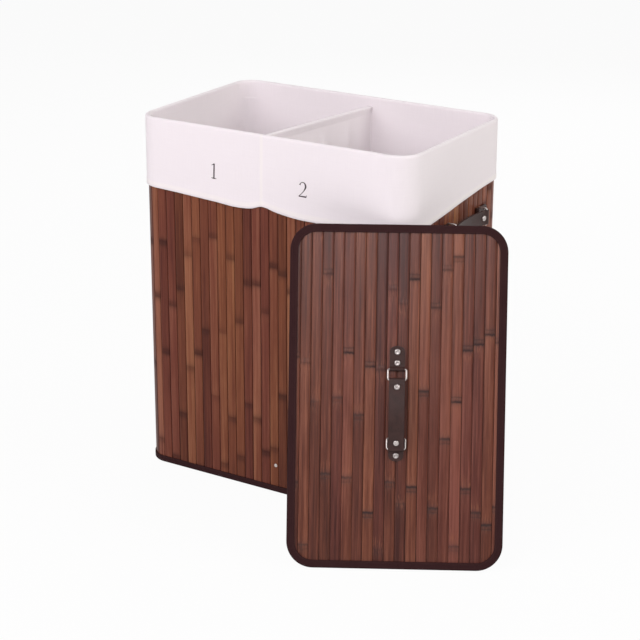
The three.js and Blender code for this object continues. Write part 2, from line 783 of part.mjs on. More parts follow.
function hamper() {
  const group = new THREE.Group();
  const barRivets = [['front_bar_rivet', -1], ['back_bar_rivet', 1]].map(([name, side]) => {
    const mesh = piece(name, barRivet().rotateX(-side * Math.PI / 2), nickel());
    mesh.position.set(barRightOfMiddle, side * hamperWidth / 2, barCentreHeight);
    return mesh;
  });
  group.add(
    piece('slat_wall', slatWall(), slatWood()),
    piece('wall_backing', wallBacking(), backingCloth()),
    piece('top_tape', topTape(), tapeCloth()),
    piece('bottom_tape', bottomTape(), tapeCloth()),
    piece('top_wire_frame', frameWire(topWireCentre), steelWire()),
    piece('bottom_wire_frame', frameWire(bottomWireCentre), steelWire()),
    piece('base_board', baseBoard(), boardFinish()),
    piece('base_cross_bar', crossBar(), barWood()),
    ...barRivets,
  );
  for (const [where, side] of [['right', 1], ['left', -1]]) {
    const ringAngle = THREE.MathUtils.degToRad(sideRingDegrees);
    const sideHandle = handle(
      where, ['rear', 'front'],
      { below: wallThickness, bow: sideStrapBow, rivetPlace: sideStrapRivetPlace, ringAngle },
    );
    sideHandle.position.set(side * hamperLength / 2, sideHandleBehindMiddle, sideHandleHeight);
    sideHandle.rotation.y = side * Math.PI / 2;
    group.add(sideHandle);
  }
  return group;
}

function liner() {
  const group = new THREE.Group();
  group.add(
    piece('liner_cuff', linerCuff(), cottonCloth()),
    piece('left_bag', bag(-1), cottonCloth()),
    piece('right_bag', bag(1), cottonCloth()),
    piece('divider_hem', dividerHem(), cottonCloth()),
  );
  return group;
}

function lid() {
  const { upright, leaning } = lidPlace();
  const holes = lidHoles();
  leaning.add(
    piece('lid_slats', cut(lidSlatFace(), ...holes), lidWood()),
    piece('lid_board', cut(lidLayer(lidBoardBottom, lidBoardThickness), ...holes), boardFinish()),
    piece('lid_lining', cut(lidLayer(lidLiningBottom, lidLiningThickness), ...holes), backingCloth()),
    piece('lid_tape', lidTape(), tapeCloth()),
  );
  const below = lidSlatTop - lidLiningBottom;
  const lidHandle = handle(
    'lid', ['upper', 'lower'],
    { below, bow: lidStrapBow, rivetPlace: lidStrapRivetPlace, ringAngle: hangAngle },
  );
  lidHandle.position.set(0, lidHandlePlace(), lidSlatTop);
  leaning.add(lidHandle);
  return upright;
}

const laundryHamper = new THREE.Group();
laundryHamper.name = 'laundry_hamper';
laundryHamper.add(hamper(), liner(), lid());
laundryHamper.updateMatrixWorld(true);

export default laundryHamper;
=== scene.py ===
"""Looks of a laundry hamper with two bins: bamboo slats, cotton liner, leather strap handles, loose lid.

Metres, in the frame of the model: +Z up, +X to the right along the front, the floor at Z = 0.
"""

import math

import bmesh
import bpy
import numpy as np
from mathutils import Matrix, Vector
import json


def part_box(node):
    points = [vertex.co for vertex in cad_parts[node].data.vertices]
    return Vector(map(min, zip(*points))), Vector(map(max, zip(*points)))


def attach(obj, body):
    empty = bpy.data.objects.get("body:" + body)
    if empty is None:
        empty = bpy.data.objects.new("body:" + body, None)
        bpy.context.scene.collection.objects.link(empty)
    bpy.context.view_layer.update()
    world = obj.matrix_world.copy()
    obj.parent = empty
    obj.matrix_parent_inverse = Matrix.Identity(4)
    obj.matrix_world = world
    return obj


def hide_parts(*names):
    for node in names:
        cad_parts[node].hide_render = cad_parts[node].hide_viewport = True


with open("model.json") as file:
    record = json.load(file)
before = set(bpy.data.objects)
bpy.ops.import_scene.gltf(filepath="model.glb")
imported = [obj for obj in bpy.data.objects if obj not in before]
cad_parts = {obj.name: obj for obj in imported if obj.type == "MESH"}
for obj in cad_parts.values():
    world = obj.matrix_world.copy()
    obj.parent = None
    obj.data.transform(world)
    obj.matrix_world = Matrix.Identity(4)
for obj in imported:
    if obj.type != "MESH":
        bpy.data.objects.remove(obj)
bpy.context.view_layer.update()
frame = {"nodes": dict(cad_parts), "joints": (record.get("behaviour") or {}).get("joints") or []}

mm = 0.001

# Camera
camera_azimuth = math.radians(31.47)
camera_elevation = math.radians(20.15)
camera_roll = math.radians(0.25)
camera_distance = 3.2576
camera_target = np.array([-0.35 * mm, 0, 261.8 * mm])
camera_lens = 105.11
camera_reach = 60

# Light. Each lamp has its azimuth, elevation, distance, size, power and colour
room_strength = 0.12
room_colour = (1, 0.98, 0.97, 1)
lamp_target = np.array([0.05, 0, 0.3])
lamps = {
    "key": (-8, 32, 3.0, 1.8, 40, (1.0, 0.97, 0.995)),
    "side": (84, 30, 3.0, 1.8, 23, (1.0, 0.985, 0.95)),
    "left": (-50, 35, 3.0, 1.8, 18, (1.0, 0.98, 1.0)),
    "rear": (200, 25, 3.0, 1.8, 28, (1.0, 1.0, 1.0)),
    "right_rear": (118, 32, 3.0, 1.8, 26, (1.0, 0.985, 0.95)),
    "top": (20, 75, 3.0, 1.8, 6, (1.0, 0.98, 1.0)),
    "glow": (28, 26, 3.5, 1.0, 20, (1.0, 0.97, 1.0)),
}
floor_reach = 9.0
floor_drop = 0.1 * mm
floor_white_share = 0.95

# Hamper
hamper_length = 520 * mm
hamper_width = 325 * mm
hamper_height = 628 * mm
corner_radius = 36 * mm
front_slats = 26
side_slats = 15
corner_slats = 4

# Slats
slat_thickness = 2 * mm
slat_gap = 1.2 * mm
lid_slat_gap = 0.75 * mm
slat_gap_spread = 0.2 * mm
slat_crown = 0.2 * mm
slat_edge_round = 0.55 * mm
slat_depth_spread = 0.2 * mm
slat_rows = 30
joint_spacing = 265 * mm
joint_spacing_spread = 70 * mm
joints_on_slat = 5

# A slat's joint: how far its stain wanders, and the place and width of each band beside it
joint_jag = 5 * mm
smudge_band = (3 * mm, 8.5 * mm)
crack_band = (0, 2.2 * mm)
second_crack_band = (7.5 * mm, 1.2 * mm)
pale_band = (-4 * mm, 16 * mm)
ridge_band = (1.5 * mm, 4 * mm)

# Cuff
cloth_thickness = 0.7 * mm
cuff_outside = 2.3 * mm
cuff_inset = 5.4 * mm
cuff_drop = 120 * mm
cuff_inner_drop = 31.5 * mm
cuff_inner_fold = 0.1 * mm
cuff_ripple = 1.2 * mm
cuff_ripple_shares = (0, 0.8)
cuff_wave_counts = (5, 9, 14, 22)
cuff_inner_wave_counts = (6, 11, 17)
cuff_columns = 640
rim_height = 4 * mm
edge_row = 0.2 * mm
seam_place = -12 * mm
seam_width = 8 * mm
seam_puff = 0.5 * mm
seam_puff_width = 16 * mm
seam_crease = 0.65 * mm
seam_crease_width = 1.3 * mm
# Strength of the cuff's light cream bands: a cream tone at the seam, a painted highlight along the hem's fold
cream_and_highlight_strength = 0.3
hem_fold = 11 * mm
hem_raise = 0.5 * mm
hem_raise_share = 0.012
hem_stitch_depth = 0.35 * mm
hem_stitch_place = 1.5 * mm
hem_stitch_width = 1 * mm

# Steps in and up of the cloth turned under at the hem
hem_turn = np.array([(0.35, -0.4), (0.9, -0.45), (1.25, 0.3), (1.3, 4), (1.3, 9.8), (1.3, 10)]) * mm

# Printed numbers, with the places of their middles on the front
ink_thickness = 0.1 * mm
figure_height = 26 * mm
figure_tilt = math.radians(-1.8)
first_figure_place = (-105 * mm, 554 * mm)
second_figure_place = (67 * mm, 548.5 * mm)

# Bags
bag_inset = 5.5 * mm
bag_top_drop = 26 * mm
bag_top_tuck = 0.9 * mm
bag_tuck_range = (0.1 * mm, 1.4 * mm)
bag_fold = 4.5 * mm
bag_foot_radius = 9 * mm
bag_floor = 5.1 * mm
bag_floor_wrinkle = 1.2 * mm
bag_wave_counts = (5, 8, 13, 19)
bag_wave_lean = 2.2
bag_wrinkle_counts = (5, 8, 13)
bag_wrinkle_lean = 4
bag_inner_edge = 5 * mm
bag_swell_shares = (0.02, 0.3)
bag_settle_shares = (0.8, 1)
bag_settle_share = 0.7
bag_widen_shares = (0.03, 0.3)
bag_inner_radius = 11 * mm
bag_seam_radius = 2.5 * mm
bag_column_step = 4 * mm
bag_under_hem = 2 * mm
bag_top_rows = np.array([0, 0.2, 3.8, 4.4, 5, 5.6, 7, 10, 15, 22, 30]) * mm
bar_side = 16.3 * mm
bar_top = 62 * mm

# Divider
divider_gap = 0.15 * mm
divider_front = -12 * mm
divider_back = 6 * mm
divider_front_drop = 2 * mm
divider_back_drop = 16 * mm
divider_hem_height = 13 * mm
divider_roll = 3.2 * mm
divider_foot = 1.4 * mm
divider_into_cuff = 0.4 * mm
divider_billow = 4 * mm
divider_fold = 3 * mm
divider_fold_run = 9 * mm
divider_fold_stray = 1.3
divider_fold_beat = 0.6
divider_fold_start = 45 * mm
divider_fold_end = 90 * mm
divider_pucker = 0.2 * mm
divider_pucker_run = 5 * mm
divider_seam_drop = 9 * mm
divider_seam_width = 3 * mm

# Lid
lid_length = 541 * mm
lid_width = 339 * mm
lid_radius = 41 * mm
lid_slats = 20
lid_slat_bottom = 4.8 * mm
lid_slat_top = 6.8 * mm
lid_thickness = 8 * mm

# Bindings and backing
tape_thickness = 0.9 * mm
tape_puff = 0.2 * mm
tape_fold_share = 0.18
tape_shares = np.concatenate([[1], np.linspace(0.98, tape_fold_share, 7)])
tape_columns = 420
tape_stitch_place = 2.2 * mm
tape_stitch_pitch = 3.4 * mm
tape_stitch_width = 0.35 * mm
lid_tape_face = 12 * mm
bottom_tape_height = 12 * mm
top_tape_height = 14 * mm
lining_face = 1.35 * mm
lining_thickness = 0.4 * mm
quilt_depth = 0.15 * mm
quilt_across = 26 * mm
quilt_along = 31 * mm
backing_inset = 2.3 * mm
backing_thickness = 0.8 * mm
backing_draw = 0.25 * mm
backing_draw_width = 2 * mm
backing_columns = 980

# Handles
leather_thickness = 1.6 * mm
leather_edge_share = 0.55
strap_width = 25 * mm
strap_crease_place = 8.7 * mm
strap_crease_width = 0.7 * mm
strap_crease_depth = 0.35 * mm
strap_loop_run = 4.2 * mm
strap_shares = np.concatenate([
    np.linspace(0, 0.12, 12), np.linspace(0.15, 0.85, 26), np.linspace(0.88, 1, 12),
])
tab_width = 23.5 * mm
tab_end_radius = 9 * mm
tab_loop_run = 2.6 * mm
near_rivet = 9.8 * mm
far_rivet = 27.1 * mm
tab_end = 36.1 * mm
lid_strap_bow = 12 * mm
side_strap_bow = -6 * mm
lid_strap_rivet = 12 * mm
side_strap_rivet = 10 * mm
wire_radius = 1.5 * mm
ring_width = 32 * mm
ring_corner_radius = 3.4 * mm
ring_column_step = 6 * mm
pivot_height = 3.7 * mm
tab_top = 3.5 * mm
wall_grip = 3.1 * mm
fit_gap = 0.3 * mm

# Rivets. The two arrays hold radii and heights: of the hollow in the head, its radii from the dome's
# inner edge, and of the back head, its heights from the back of what the rivet holds
rivet_radius = 4.75 * mm
rivet_height = 2 * mm
rivet_dome_run = 1.9 * mm
rivet_shank_radius = 1.6 * mm
bar_rivet_radius = 3.25 * mm
bar_rivet_height = 1.4 * mm
rivet_hollow = np.array([(-0.8, 1.7), (-1.2, 1.1)]) * mm
rivet_hollow_floor = 1.0 * mm
rivet_back = np.array([(0, -0.8), (3.2, -0.8), (3.8, -0.6), (4, -0.25), (4, 0)]) * mm

# Angles, in degrees, over which an edge of these pieces is sharp
wood_sharp = 50
leather_sharp = 70
wire_sharp = 50
rivet_sharp = 35

# Depths of the relief that bump gives to each surface
bamboo_relief = 0.35 * mm
cotton_relief = 0.12 * mm
crumple_relief = 1.2 * mm
tape_relief = 0.2 * mm
backing_relief = 0.25 * mm
leather_relief = 0.12 * mm
scratch_relief = 0.02 * mm
wood_relief = 0.2 * mm


# Meshes from arrays

def joined(*parts):
    """Arrays side by side along a new last axis, each repeated where it needs to be."""
    return np.stack(np.broadcast_arrays(*parts), -1)


def unit(vector):
    """A vector, or each row of an array of them, at length 1."""
    return vector / np.linalg.norm(vector, axis=-1, keepdims=True)


def grid_faces(rows, columns, round_rows=False, round_columns=False):
    """Four corner numbers for each face of a grid, row by row. A face points along the direction in
    which the rows go crossed with the one in which the columns go."""
    row, column = np.meshgrid(
        np.arange(rows if round_rows else rows - 1),
        np.arange(columns if round_columns else columns - 1), indexing="ij",
    )
    next_row, next_column = (row + 1) % rows, (column + 1) % columns
    return joined(
        row * columns + column, next_row * columns + column,
        next_row * columns + next_column, row * columns + next_column,
    ).reshape(-1, 4)


def face_corners(grid):
    """Values of a grid, or of a row of grids, at the four corners of each face, as in grid_faces."""
    corners = [
        grid[..., :-1, :-1, :], grid[..., 1:, :-1, :], grid[..., 1:, 1:, :], grid[..., :-1, 1:, :],
    ]
    return np.stack(corners, -2).reshape(-1, grid.shape[-1])


def new_piece(name, points, faces, uv_maps=None, caps=()):
    """Object with the given faces; each UV map holds a pair of values for every face corner."""
    mesh = bpy.data.meshes.new(name)
    mesh.from_pydata(points.reshape(-1, 3).tolist(), [], faces.tolist() + [list(cap) for cap in caps])
    cap_corners = sum(len(cap) for cap in caps)
    for uv_name, values in (uv_maps or {}).items():
        layer = mesh.uv_layers.new(name=uv_name)
        padding = np.zeros((cap_corners, 2))
        layer.data.foreach_set("uv", np.concatenate([values, padding]).astype(np.float32).ravel())
    mesh.shade_smooth()
    piece = bpy.data.objects.new(name, mesh)
    bpy.context.scene.collection.objects.link(piece)
    return piece


def close_up(piece, sharp_degrees):
    """Merges doubled points, turns the faces of a closed shell outwards and keeps its sharp edges."""
    shape = bmesh.new()
    shape.from_mesh(piece.data)
    bmesh.ops.remove_doubles(shape, verts=shape.verts, dist=0.001 * mm)
    bmesh.ops.recalc_face_normals(shape, faces=shape.faces)
    shape.to_mesh(piece.data)
    shape.free()
    piece.data.set_sharp_from_angle(angle=math.radians(sharp_degrees))
    return piece


def shell_piece(name, points, sharp_degrees, ring=False, caps=()):
    """A closed shell from a grid of points, closed round its columns, and as a ring round its rows."""
    faces = grid_faces(*points.shape[:2], round_rows=ring, round_columns=True)
    return close_up(new_piece(name, points, faces, caps=caps), sharp_degrees)


def cloth_grid(around, along):
    """The two values of a cloth's map at each point of its grid: its column's and its row's."""
    return joined(around[None], along[:, None])


def thicken(piece, thickness, offset=-1):
    """Gives a sheet its thickness, behind the side that its faces point to, or before it with an offset
    of 1."""
    wall = piece.modifiers.new("cloth_thickness", "SOLIDIFY")
    wall.thickness = thickness
    wall.offset = offset
    return piece


def cloth_piece(name, points, grid, thickness, caps=(), closed=True, offset=-1):
    """A sheet from a grid of points, closed round its columns or open. Its map is in metres."""
    faces = grid_faces(*points.shape[:2], round_columns=closed)
    piece = new_piece(name, points, faces, {"cloth": face_corners(grid)}, caps)
    return thicken(piece, thickness, offset)


def dress(piece, material, body, nodes):
    """Gives a piece its material, its body and the nodes that it stands for."""
    piece.data.materials.append(material)
    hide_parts(*nodes)
    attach(piece, body)
    return piece


# Outlines, paths and folds

def outline_knots(low, high, radii):
    """Where a rounded rectangle's straight and round stretches end, as the distance run against the
    clock from the middle of its back, with the corner circle's centre, radius and quarter turns there.
    The radii are those of the back left, front left, front right and back right corner."""
    back_left, front_left, front_right, back_right = radii
    corner_x = [low[0] + back_left, low[0] + front_left, high[0] - front_right, high[0] - back_right]
    corner_y = [high[1] - back_left, low[1] + front_left, low[1] + front_right, high[1] - back_right]
    middle = (low[0] + high[0]) / 2
    x = np.array([middle, *np.repeat(corner_x, 2), middle])
    y, radius = (np.repeat(values, [3, 2, 2, 3]) for values in (corner_y, radii))
    quarters = np.repeat([1, 2, 3, 4, 5], 2)
    steps = np.hypot(np.diff(x), np.diff(y)) + radius[1:] * np.diff(quarters) * math.pi / 2
    return np.concatenate([[0], np.cumsum(steps)]), x, y, radius, quarters


def outline(knots, distance):
    """Points and outward normals of a rounded rectangle at distances run round it. Between two knots
    the circle's centre, its radius and the normal's turn all change in a straight line, so the point
    centre + radius * normal follows the sides and the corners alike."""
    run, x, y, radius, quarters = knots
    turn = np.interp(distance, run, quarters) * math.pi / 2
    normal = joined(np.cos(turn), np.sin(turn))
    centre = joined(np.interp(distance, run, x), np.interp(distance, run, y))
    return centre + np.interp(distance, run, radius)[..., None] * normal, normal


def even_run(knots, count):
    """Distances at even steps round an outline, without the last, which is the first again."""
    return np.arange(count) / count * knots[0][-1]


def stretch_places(knots, step, round_steps):
    """Places of columns round an outline, as knot numbers with shares between them: about a step apart
    on the straights, and so many to each corner."""
    counts = [
        round_steps if number % 2 else max(2, math.ceil(length / step))
        for number, length in enumerate(np.diff(knots[0]))
    ]
    return np.concatenate([number + np.arange(count) / count for number, count in enumerate(counts)])


def path_lengths(path):
    """Distance run along a path at each of its points. Where its points are rows of a grid, a step
    counts as long as it is on average over the row."""
    steps = np.linalg.norm(np.diff(path, axis=0), axis=-1).reshape(len(path) - 1, -1)
    return np.concatenate([[0], np.cumsum(steps.mean(axis=1))])


def with_height(plan, height):
    """Points in space, from points in plan and heights."""
    return joined(plan[..., 0], plan[..., 1], height)


def angles_between(start, end, count):
    """Angles at even steps between two, without those two."""
    return np.linspace(start, end, count + 2)[1:-1]


def soft_folds(share, height, counts, seed):
    """Folds between -1 and 1: a sum of sine waves round the run, whole numbers of them so that the
    ends meet, each with its own phase and lean with height."""
    wild = np.random.default_rng(seed)
    total = 0
    for count in counts:
        phase, lean = wild.uniform(0, 2 * math.pi), wild.uniform(-3, 3)
        total = total + np.sin(2 * math.pi * count * share + phase + lean * height)
    return total / len(counts)


def bell(value, width):
    """A smooth hump, 1 at zero and falling off over the width."""
    return np.exp(-(value / width) ** 2)


def ease(value, low, high):
    """Smooth step from 0 at low to 1 at high."""
    t = np.clip((value - low) / (high - low), 0, 1)
    return t * t * (3 - 2 * t)


wall_low = np.array([-hamper_length / 2, -hamper_width / 2])
wall_high = -wall_low
wall_knots = outline_knots(wall_low, wall_high, [corner_radius] * 4)
wall_run = float(wall_knots[0][-1])
side_starts = dict(zip(("left", "front", "right", "back"), wall_knots[0][2::2]))


# Shader helpers

class ShaderValue:
    """A number, vector or colour in a shader tree. Reckoning with numbers adds a maths node."""

    def __init__(self, socket):
        self.socket, self.tree = socket, socket.id_data

    def __add__(self, other):
        return maths("ADD", self, other)

    def __sub__(self, other):
        return maths("SUBTRACT", self, other)

    def __rsub__(self, other):
        return maths("SUBTRACT", other, self)

    def __mul__(self, other):
        return maths("MULTIPLY", self, other)

    def __truediv__(self, other):
        return maths("DIVIDE", self, other)

    def __lt__(self, other):
        return maths("LESS_THAN", self, other)

    def __abs__(self):
        return maths("ABSOLUTE", self)


def feed(socket, value):
    """Links a shader value to a socket, or sets the socket to a plain number, vector or colour."""
    if isinstance(value, ShaderValue):
        socket.id_data.links.new(value.socket, socket)
    else:
        socket.default_value = value


def feed_all(made, **inputs):
    """Feeds a node's inputs, each named as in Blender but with _ for a space."""
    for key, value in inputs.items():
        feed(made.inputs[key.replace("_", " ")], value)


def node(tree, kind, settings=None, **inputs):
    """Adds a shader node with its settings and its inputs."""
    made = tree.nodes.new(kind)
    for key, value in (settings or {}).items():
        setattr(made, key, value)
    feed_all(made, **inputs)
    return made


def maths(operation, *values):
    """Adds a maths node in the tree that one of its values is from."""
    tree = next(value.tree for value in values if isinstance(value, ShaderValue))
    made = node(tree, "ShaderNodeMath", {"operation": operation})
    for socket, value in zip(made.inputs, values):
        feed(socket, value)
    return ShaderValue(made.outputs[0])


def blend_colours(factor, first, second, kind="MIX"):
    """The first colour where the factor is 0, running to the second where it is 1."""
    made = node(factor.tree, "ShaderNodeMix", {"data_type": "RGBA", "blend_type": kind})
    for number, value in ((0, factor), (6, first), (7, second)):
        feed(made.inputs[number], value)
    return ShaderValue(made.outputs[2])


def colour_ramp(factor, stops):
    """Colours at places from 0 to 1, each running into the next."""
    made = node(factor.tree, "ShaderNodeValToRGB", Fac=factor)
    ramp = made.color_ramp
    while len(ramp.elements) < len(stops):
        ramp.elements.new(0.5)
    for element, (place, tint) in zip(ramp.elements, stops):
        element.position = place
        element.color = tint
    return ShaderValue(made.outputs["Color"])


def value_range(value, low, high, to_low=0.0, to_high=1.0):
    """A range of values laid on another range, and held inside it."""
    made = node(
        value.tree, "ShaderNodeMapRange", {"clamp": True},
        Value=value, From_Min=low, From_Max=high, To_Min=to_low, To_Max=to_high,
    )
    return ShaderValue(made.outputs["Result"])


def noise(vector, scale, detail=2.0, roughness=0.5):
    """Noise from 0 to 1. Its scale, in waves to a metre, is one number or one for each direction."""
    if isinstance(scale, tuple):
        mapping = node(vector.tree, "ShaderNodeMapping", {"vector_type": "POINT"}, Vector=vector, Scale=scale)
        vector, scale = ShaderValue(mapping.outputs[0]), 1.0
    made = node(
        vector.tree, "ShaderNodeTexNoise", Vector=vector, Scale=scale, Detail=detail, Roughness=roughness,
    )
    return ShaderValue(made.outputs["Fac"])


def vector_parts(vector):
    """The first two parts of a vector."""
    made = node(vector.tree, "ShaderNodeSeparateXYZ", Vector=vector)
    return ShaderValue(made.outputs["X"]), ShaderValue(made.outputs["Y"])


def colour(red, green, blue):
    """Colour on screen, from 0 to 255, as the shader's linear colour."""
    screen = np.array([red, green, blue]) / 255
    return (*(np.where(screen < 0.04045, screen / 12.92, ((screen + 0.055) / 1.055) ** 2.4)), 1.0)


def new_group(name, inputs, outputs):
    """A node group's tree, the values that its inputs bring, and the end node that takes its numbers."""
    tree = bpy.data.node_groups.new(name, "ShaderNodeTree")
    for socket_name, kind in inputs:
        tree.interface.new_socket(socket_name, in_out="INPUT", socket_type="NodeSocket" + kind)
    for socket_name in outputs:
        tree.interface.new_socket(socket_name, in_out="OUTPUT", socket_type="NodeSocketFloat")
    given = tree.nodes.new("NodeGroupInput")
    values = [ShaderValue(given.outputs[socket_name]) for socket_name, _ in inputs]
    return tree, values, tree.nodes.new("NodeGroupOutput")


def use_group(tree, group, **inputs):
    """The values that a node group gives for these inputs."""
    made = tree.nodes.new("ShaderNodeGroup")
    made.node_tree = group
    feed_all(made, **inputs)
    return [ShaderValue(socket) for socket in made.outputs]


def new_material(name):
    """A material and its shader tree."""
    material = bpy.data.materials.new(name)
    material.use_nodes = True
    return material, material.node_tree


def surface(material, **inputs):
    """The material, with its shader's inputs fed."""
    feed_all(material.node_tree.nodes["Principled BSDF"], **inputs)
    return material


def bump(height, distance, strength=1.0, normal=None):
    """Normal of a surface raised by the height times the distance, on top of another normal."""
    made = node(height.tree, "ShaderNodeBump", Height=height, Distance=distance, Strength=strength)
    if normal is not None:
        feed(made.inputs["Normal"], normal)
    return ShaderValue(made.outputs["Normal"])


def uv_map(tree, name):
    """The two values of a UV map."""
    return ShaderValue(node(tree, "ShaderNodeUVMap", {"uv_map": name}).outputs[0])


def object_place(tree):
    """Place on the object, in metres."""
    return ShaderValue(node(tree, "ShaderNodeTexCoord").outputs["Object"])


# Effects that several materials share

def weave_group():
    """Plain weave on a map in metres: threads cross at right angles, each a row of rounded humps that
    go over and under, with slubs where a thread is thicker."""
    tree, (place, threads, slubs), made = new_group(
        "weave", [("Map", "Vector"), ("Threads", "Float"), ("Slubs", "Float")], ["Height", "Shade"],
    )
    waves = [maths("SINE", part * threads * math.pi) for part in vector_parts(place)]
    crossing = waves[0] * waves[1] * 0.5 + 0.5
    height = abs(waves[0]) * crossing + abs(waves[1]) * (1.0 - crossing)
    slub = noise(place, (1500.0, 25.0, 1.0)) + noise(place, (25.0, 1500.0, 1.0))
    feed_all(made, Height=height, Shade=(slub - 1.0) * slubs + 0.5)
    return tree


def stitch_group():
    """Row of stitches on a map in metres: a dash every pitch, along a line at the given place."""
    dash_share = 0.72
    tree, (cloth, place, pitch, width), made = new_group(
        "stitches", [("Map", "Vector"), ("Place", "Float"), ("Pitch", "Float"), ("Width", "Float")],
        ["Mask"],
    )
    along, across = vector_parts(cloth)
    on_line = abs(across - place) < width
    feed_all(made, Mask=on_line * (maths("FRACT", along / pitch) < dash_share))
    return tree


def wear_group():
    """Patchy wear, between 0 and 1, of two sizes of noise laid over each other."""
    tree, (place, scale), made = new_group("wear", [("Place", "Vector"), ("Scale", "Float")], ["Wear"])
    both = noise(place, scale * 9.0) * 0.4 + noise(place, scale, 3.0) * 0.6
    feed_all(made, Wear=value_range(both, 0.35, 0.65))
    return tree


weave = weave_group()
stitches = stitch_group()
wear = wear_group()


# Materials

def bamboo(name, dark, middle, light, stain_colour, fibrous, smudged, cracked, pale, shine):
    """Stained bamboo: every slat has its own tone, fine fibres run along it, and it is darker, cracked
    and a little raised at its joints. The map "joint" holds the distance to the nearest joint and the
    slat's tone. The last five numbers are how strong the fibres, a joint's stain, its cracks, the pale
    fibres beside it and the wood's shine are. The tone is a sum of parts with these weights, read on a
    ramp round the middle of what the sum can be."""
    broad_weight, patch_weight, slat_weight, below_weight = 0.5, 0.3, 0.75, 0.15
    tone_spread = 0.42
    ridge_height, fibre_height = 0.8, 0.35
    fibre_roughness, stain_roughness = (0.28, 0.42), 0.3
    material, tree = new_material(name)
    fibre_map = uv_map(tree, "fibre")
    from_joint, slat_tone = vector_parts(uv_map(tree, "joint"))
    fine = noise(fibre_map, (260.0, 5.0, 1.0), 5.0, 0.8)
    broad = noise(fibre_map, (210.0, 3.0, 1.0), 1.0)
    patch = noise(fibre_map, (60.0, 9.0, 1.0))
    tone = fine * fibrous + broad * broad_weight + patch * patch_weight
    tone = tone + slat_tone * slat_weight + (from_joint < 0.0) * below_weight
    middle_tone = 0.5 * (fibrous + broad_weight + patch_weight + slat_weight + below_weight)
    share = value_range(tone, middle_tone - tone_spread, middle_tone + tone_spread)
    wood = colour_ramp(share, [(0, dark), (0.5, middle), (1, light)])
    redness = value_range(noise(fibre_map, (5.0, 1.0, 1.0), 1.0), 0.38, 0.62, 0.0, 0.8)
    wood = blend_colours(redness, wood, colour(230, 214, 250), "MULTIPLY")

    jag = noise(fibre_map, (420.0, 60.0, 1.0), 3.0)
    away = (jag - 0.5) * joint_jag + from_joint

    def band(place, width):
        """A bell curve beside the joint: the exponential of minus the square of off over width."""
        off = (away - place) / width
        return maths("EXPONENT", off * off * -1.0)

    strength = value_range(noise(fibre_map, (9.0, 4.0, 1.0)), 0.35, 0.6, 0.25, 1.0)
    cracks = maths("MAXIMUM", band(*crack_band), band(*second_crack_band) * 0.5) * strength
    stain = cracks * cracked + band(*smudge_band) * strength * smudged
    threads = value_range(noise(fibre_map, (800.0, 60.0, 1.0)), 0.5, 0.65)
    wood = blend_colours(threads * band(*pale_band) * pale, wood, light)
    height = (band(*ridge_band) - cracks) * ridge_height + fine * fibre_height
    rough = stain * stain_roughness + value_range(fine, 0.3, 0.7, *fibre_roughness)
    return surface(
        material, Base_Color=blend_colours(stain, wood, stain_colour), Roughness=rough,
        Specular_IOR_Level=shine, Normal=bump(height, bamboo_relief),
    )


def cotton_cloth(name, cream_and_highlight_bands=()):
    """Plain white cotton: a fine weave with slubs, and hardly any shine. A light cream band is given by the
    number of the map's part that it lies across, its middle there and half its width. On the cuff one
    runs along the seam as a cream tone, and one along the hem's fold is a painted highlight."""
    solid_share = 0.4
    material, tree = new_material(name)
    cloth_map = uv_map(tree, "cloth")
    woven, slubs = use_group(tree, weave, Map=cloth_map, Threads=1700.0, Slubs=0.16)
    base = blend_colours(value_range(slubs, 0.35, 0.65), colour(234, 226, 229), colour(245, 238, 241))
    # Each band mixes in the light cream; on the cuff, the band along the hem's fold is a painted highlight
    for part, middle, half in cream_and_highlight_bands:
        off = abs(vector_parts(cloth_map)[part] - middle)
        mask = value_range(off, solid_share * half, half, cream_and_highlight_strength, 0.0)
        base = blend_colours(mask, base, colour(250, 244, 236))
    soft = bump(noise(cloth_map, (38.0, 16.0, 1.0), 3.0), crumple_relief, 0.35)
    return surface(
        material, Base_Color=base, Roughness=0.9, Specular_IOR_Level=0.25, Sheen_Weight=0.12,
        Normal=bump(woven, cotton_relief, 0.6, soft),
    )


def binding_tape():
    """Dark brown woven tape with a row of stitches near its edge; the map's second value is the
    distance from that edge."""
    material, tree = new_material("brown_binding")
    tape_map = uv_map(tree, "cloth")
    woven, slubs = use_group(tree, weave, Map=tape_map, Threads=1400.0, Slubs=0.9)
    ribs, _ = use_group(tree, weave, Map=tape_map, Threads=400.0, Slubs=0.0)
    [worn] = use_group(tree, wear, Place=object_place(tree), Scale=25.0)
    [sewn] = use_group(
        tree, stitches, Map=tape_map, Place=tape_stitch_place, Pitch=tape_stitch_pitch,
        Width=tape_stitch_width,
    )
    base = blend_colours(slubs, colour(32, 13, 15), colour(49, 25, 26))
    base = blend_colours(ribs * 0.45, base, colour(68, 41, 43))
    base = blend_colours(worn * 0.3, base, colour(60, 36, 36))
    return surface(
        material, Base_Color=blend_colours(sewn, base, colour(64, 40, 38)), Roughness=0.85,
        Specular_IOR_Level=0.12, Normal=bump(sewn * 1.6 + woven, tape_relief, 0.8),
    )


def backing_cloth():
    """Coarse brown cloth, behind the wall's slats and on the lid's inner face. Its brown is the cloth's
    own, made darker as painted shade for the gaps between the slats, where it shows through.
    """
    material, tree = new_material("brown_backing_and_gap_shade")
    woven, slubs = use_group(tree, weave, Map=uv_map(tree, "cloth"), Threads=900.0, Slubs=1.0)
    return surface(
        # Both browns are darker than the cloth itself: painted shade for the gaps between the slats
        material, Base_Color=blend_colours(slubs, colour(42, 20, 15), colour(58, 31, 24)), Roughness=0.9,
        Normal=bump(woven, backing_relief, 0.8),
    )


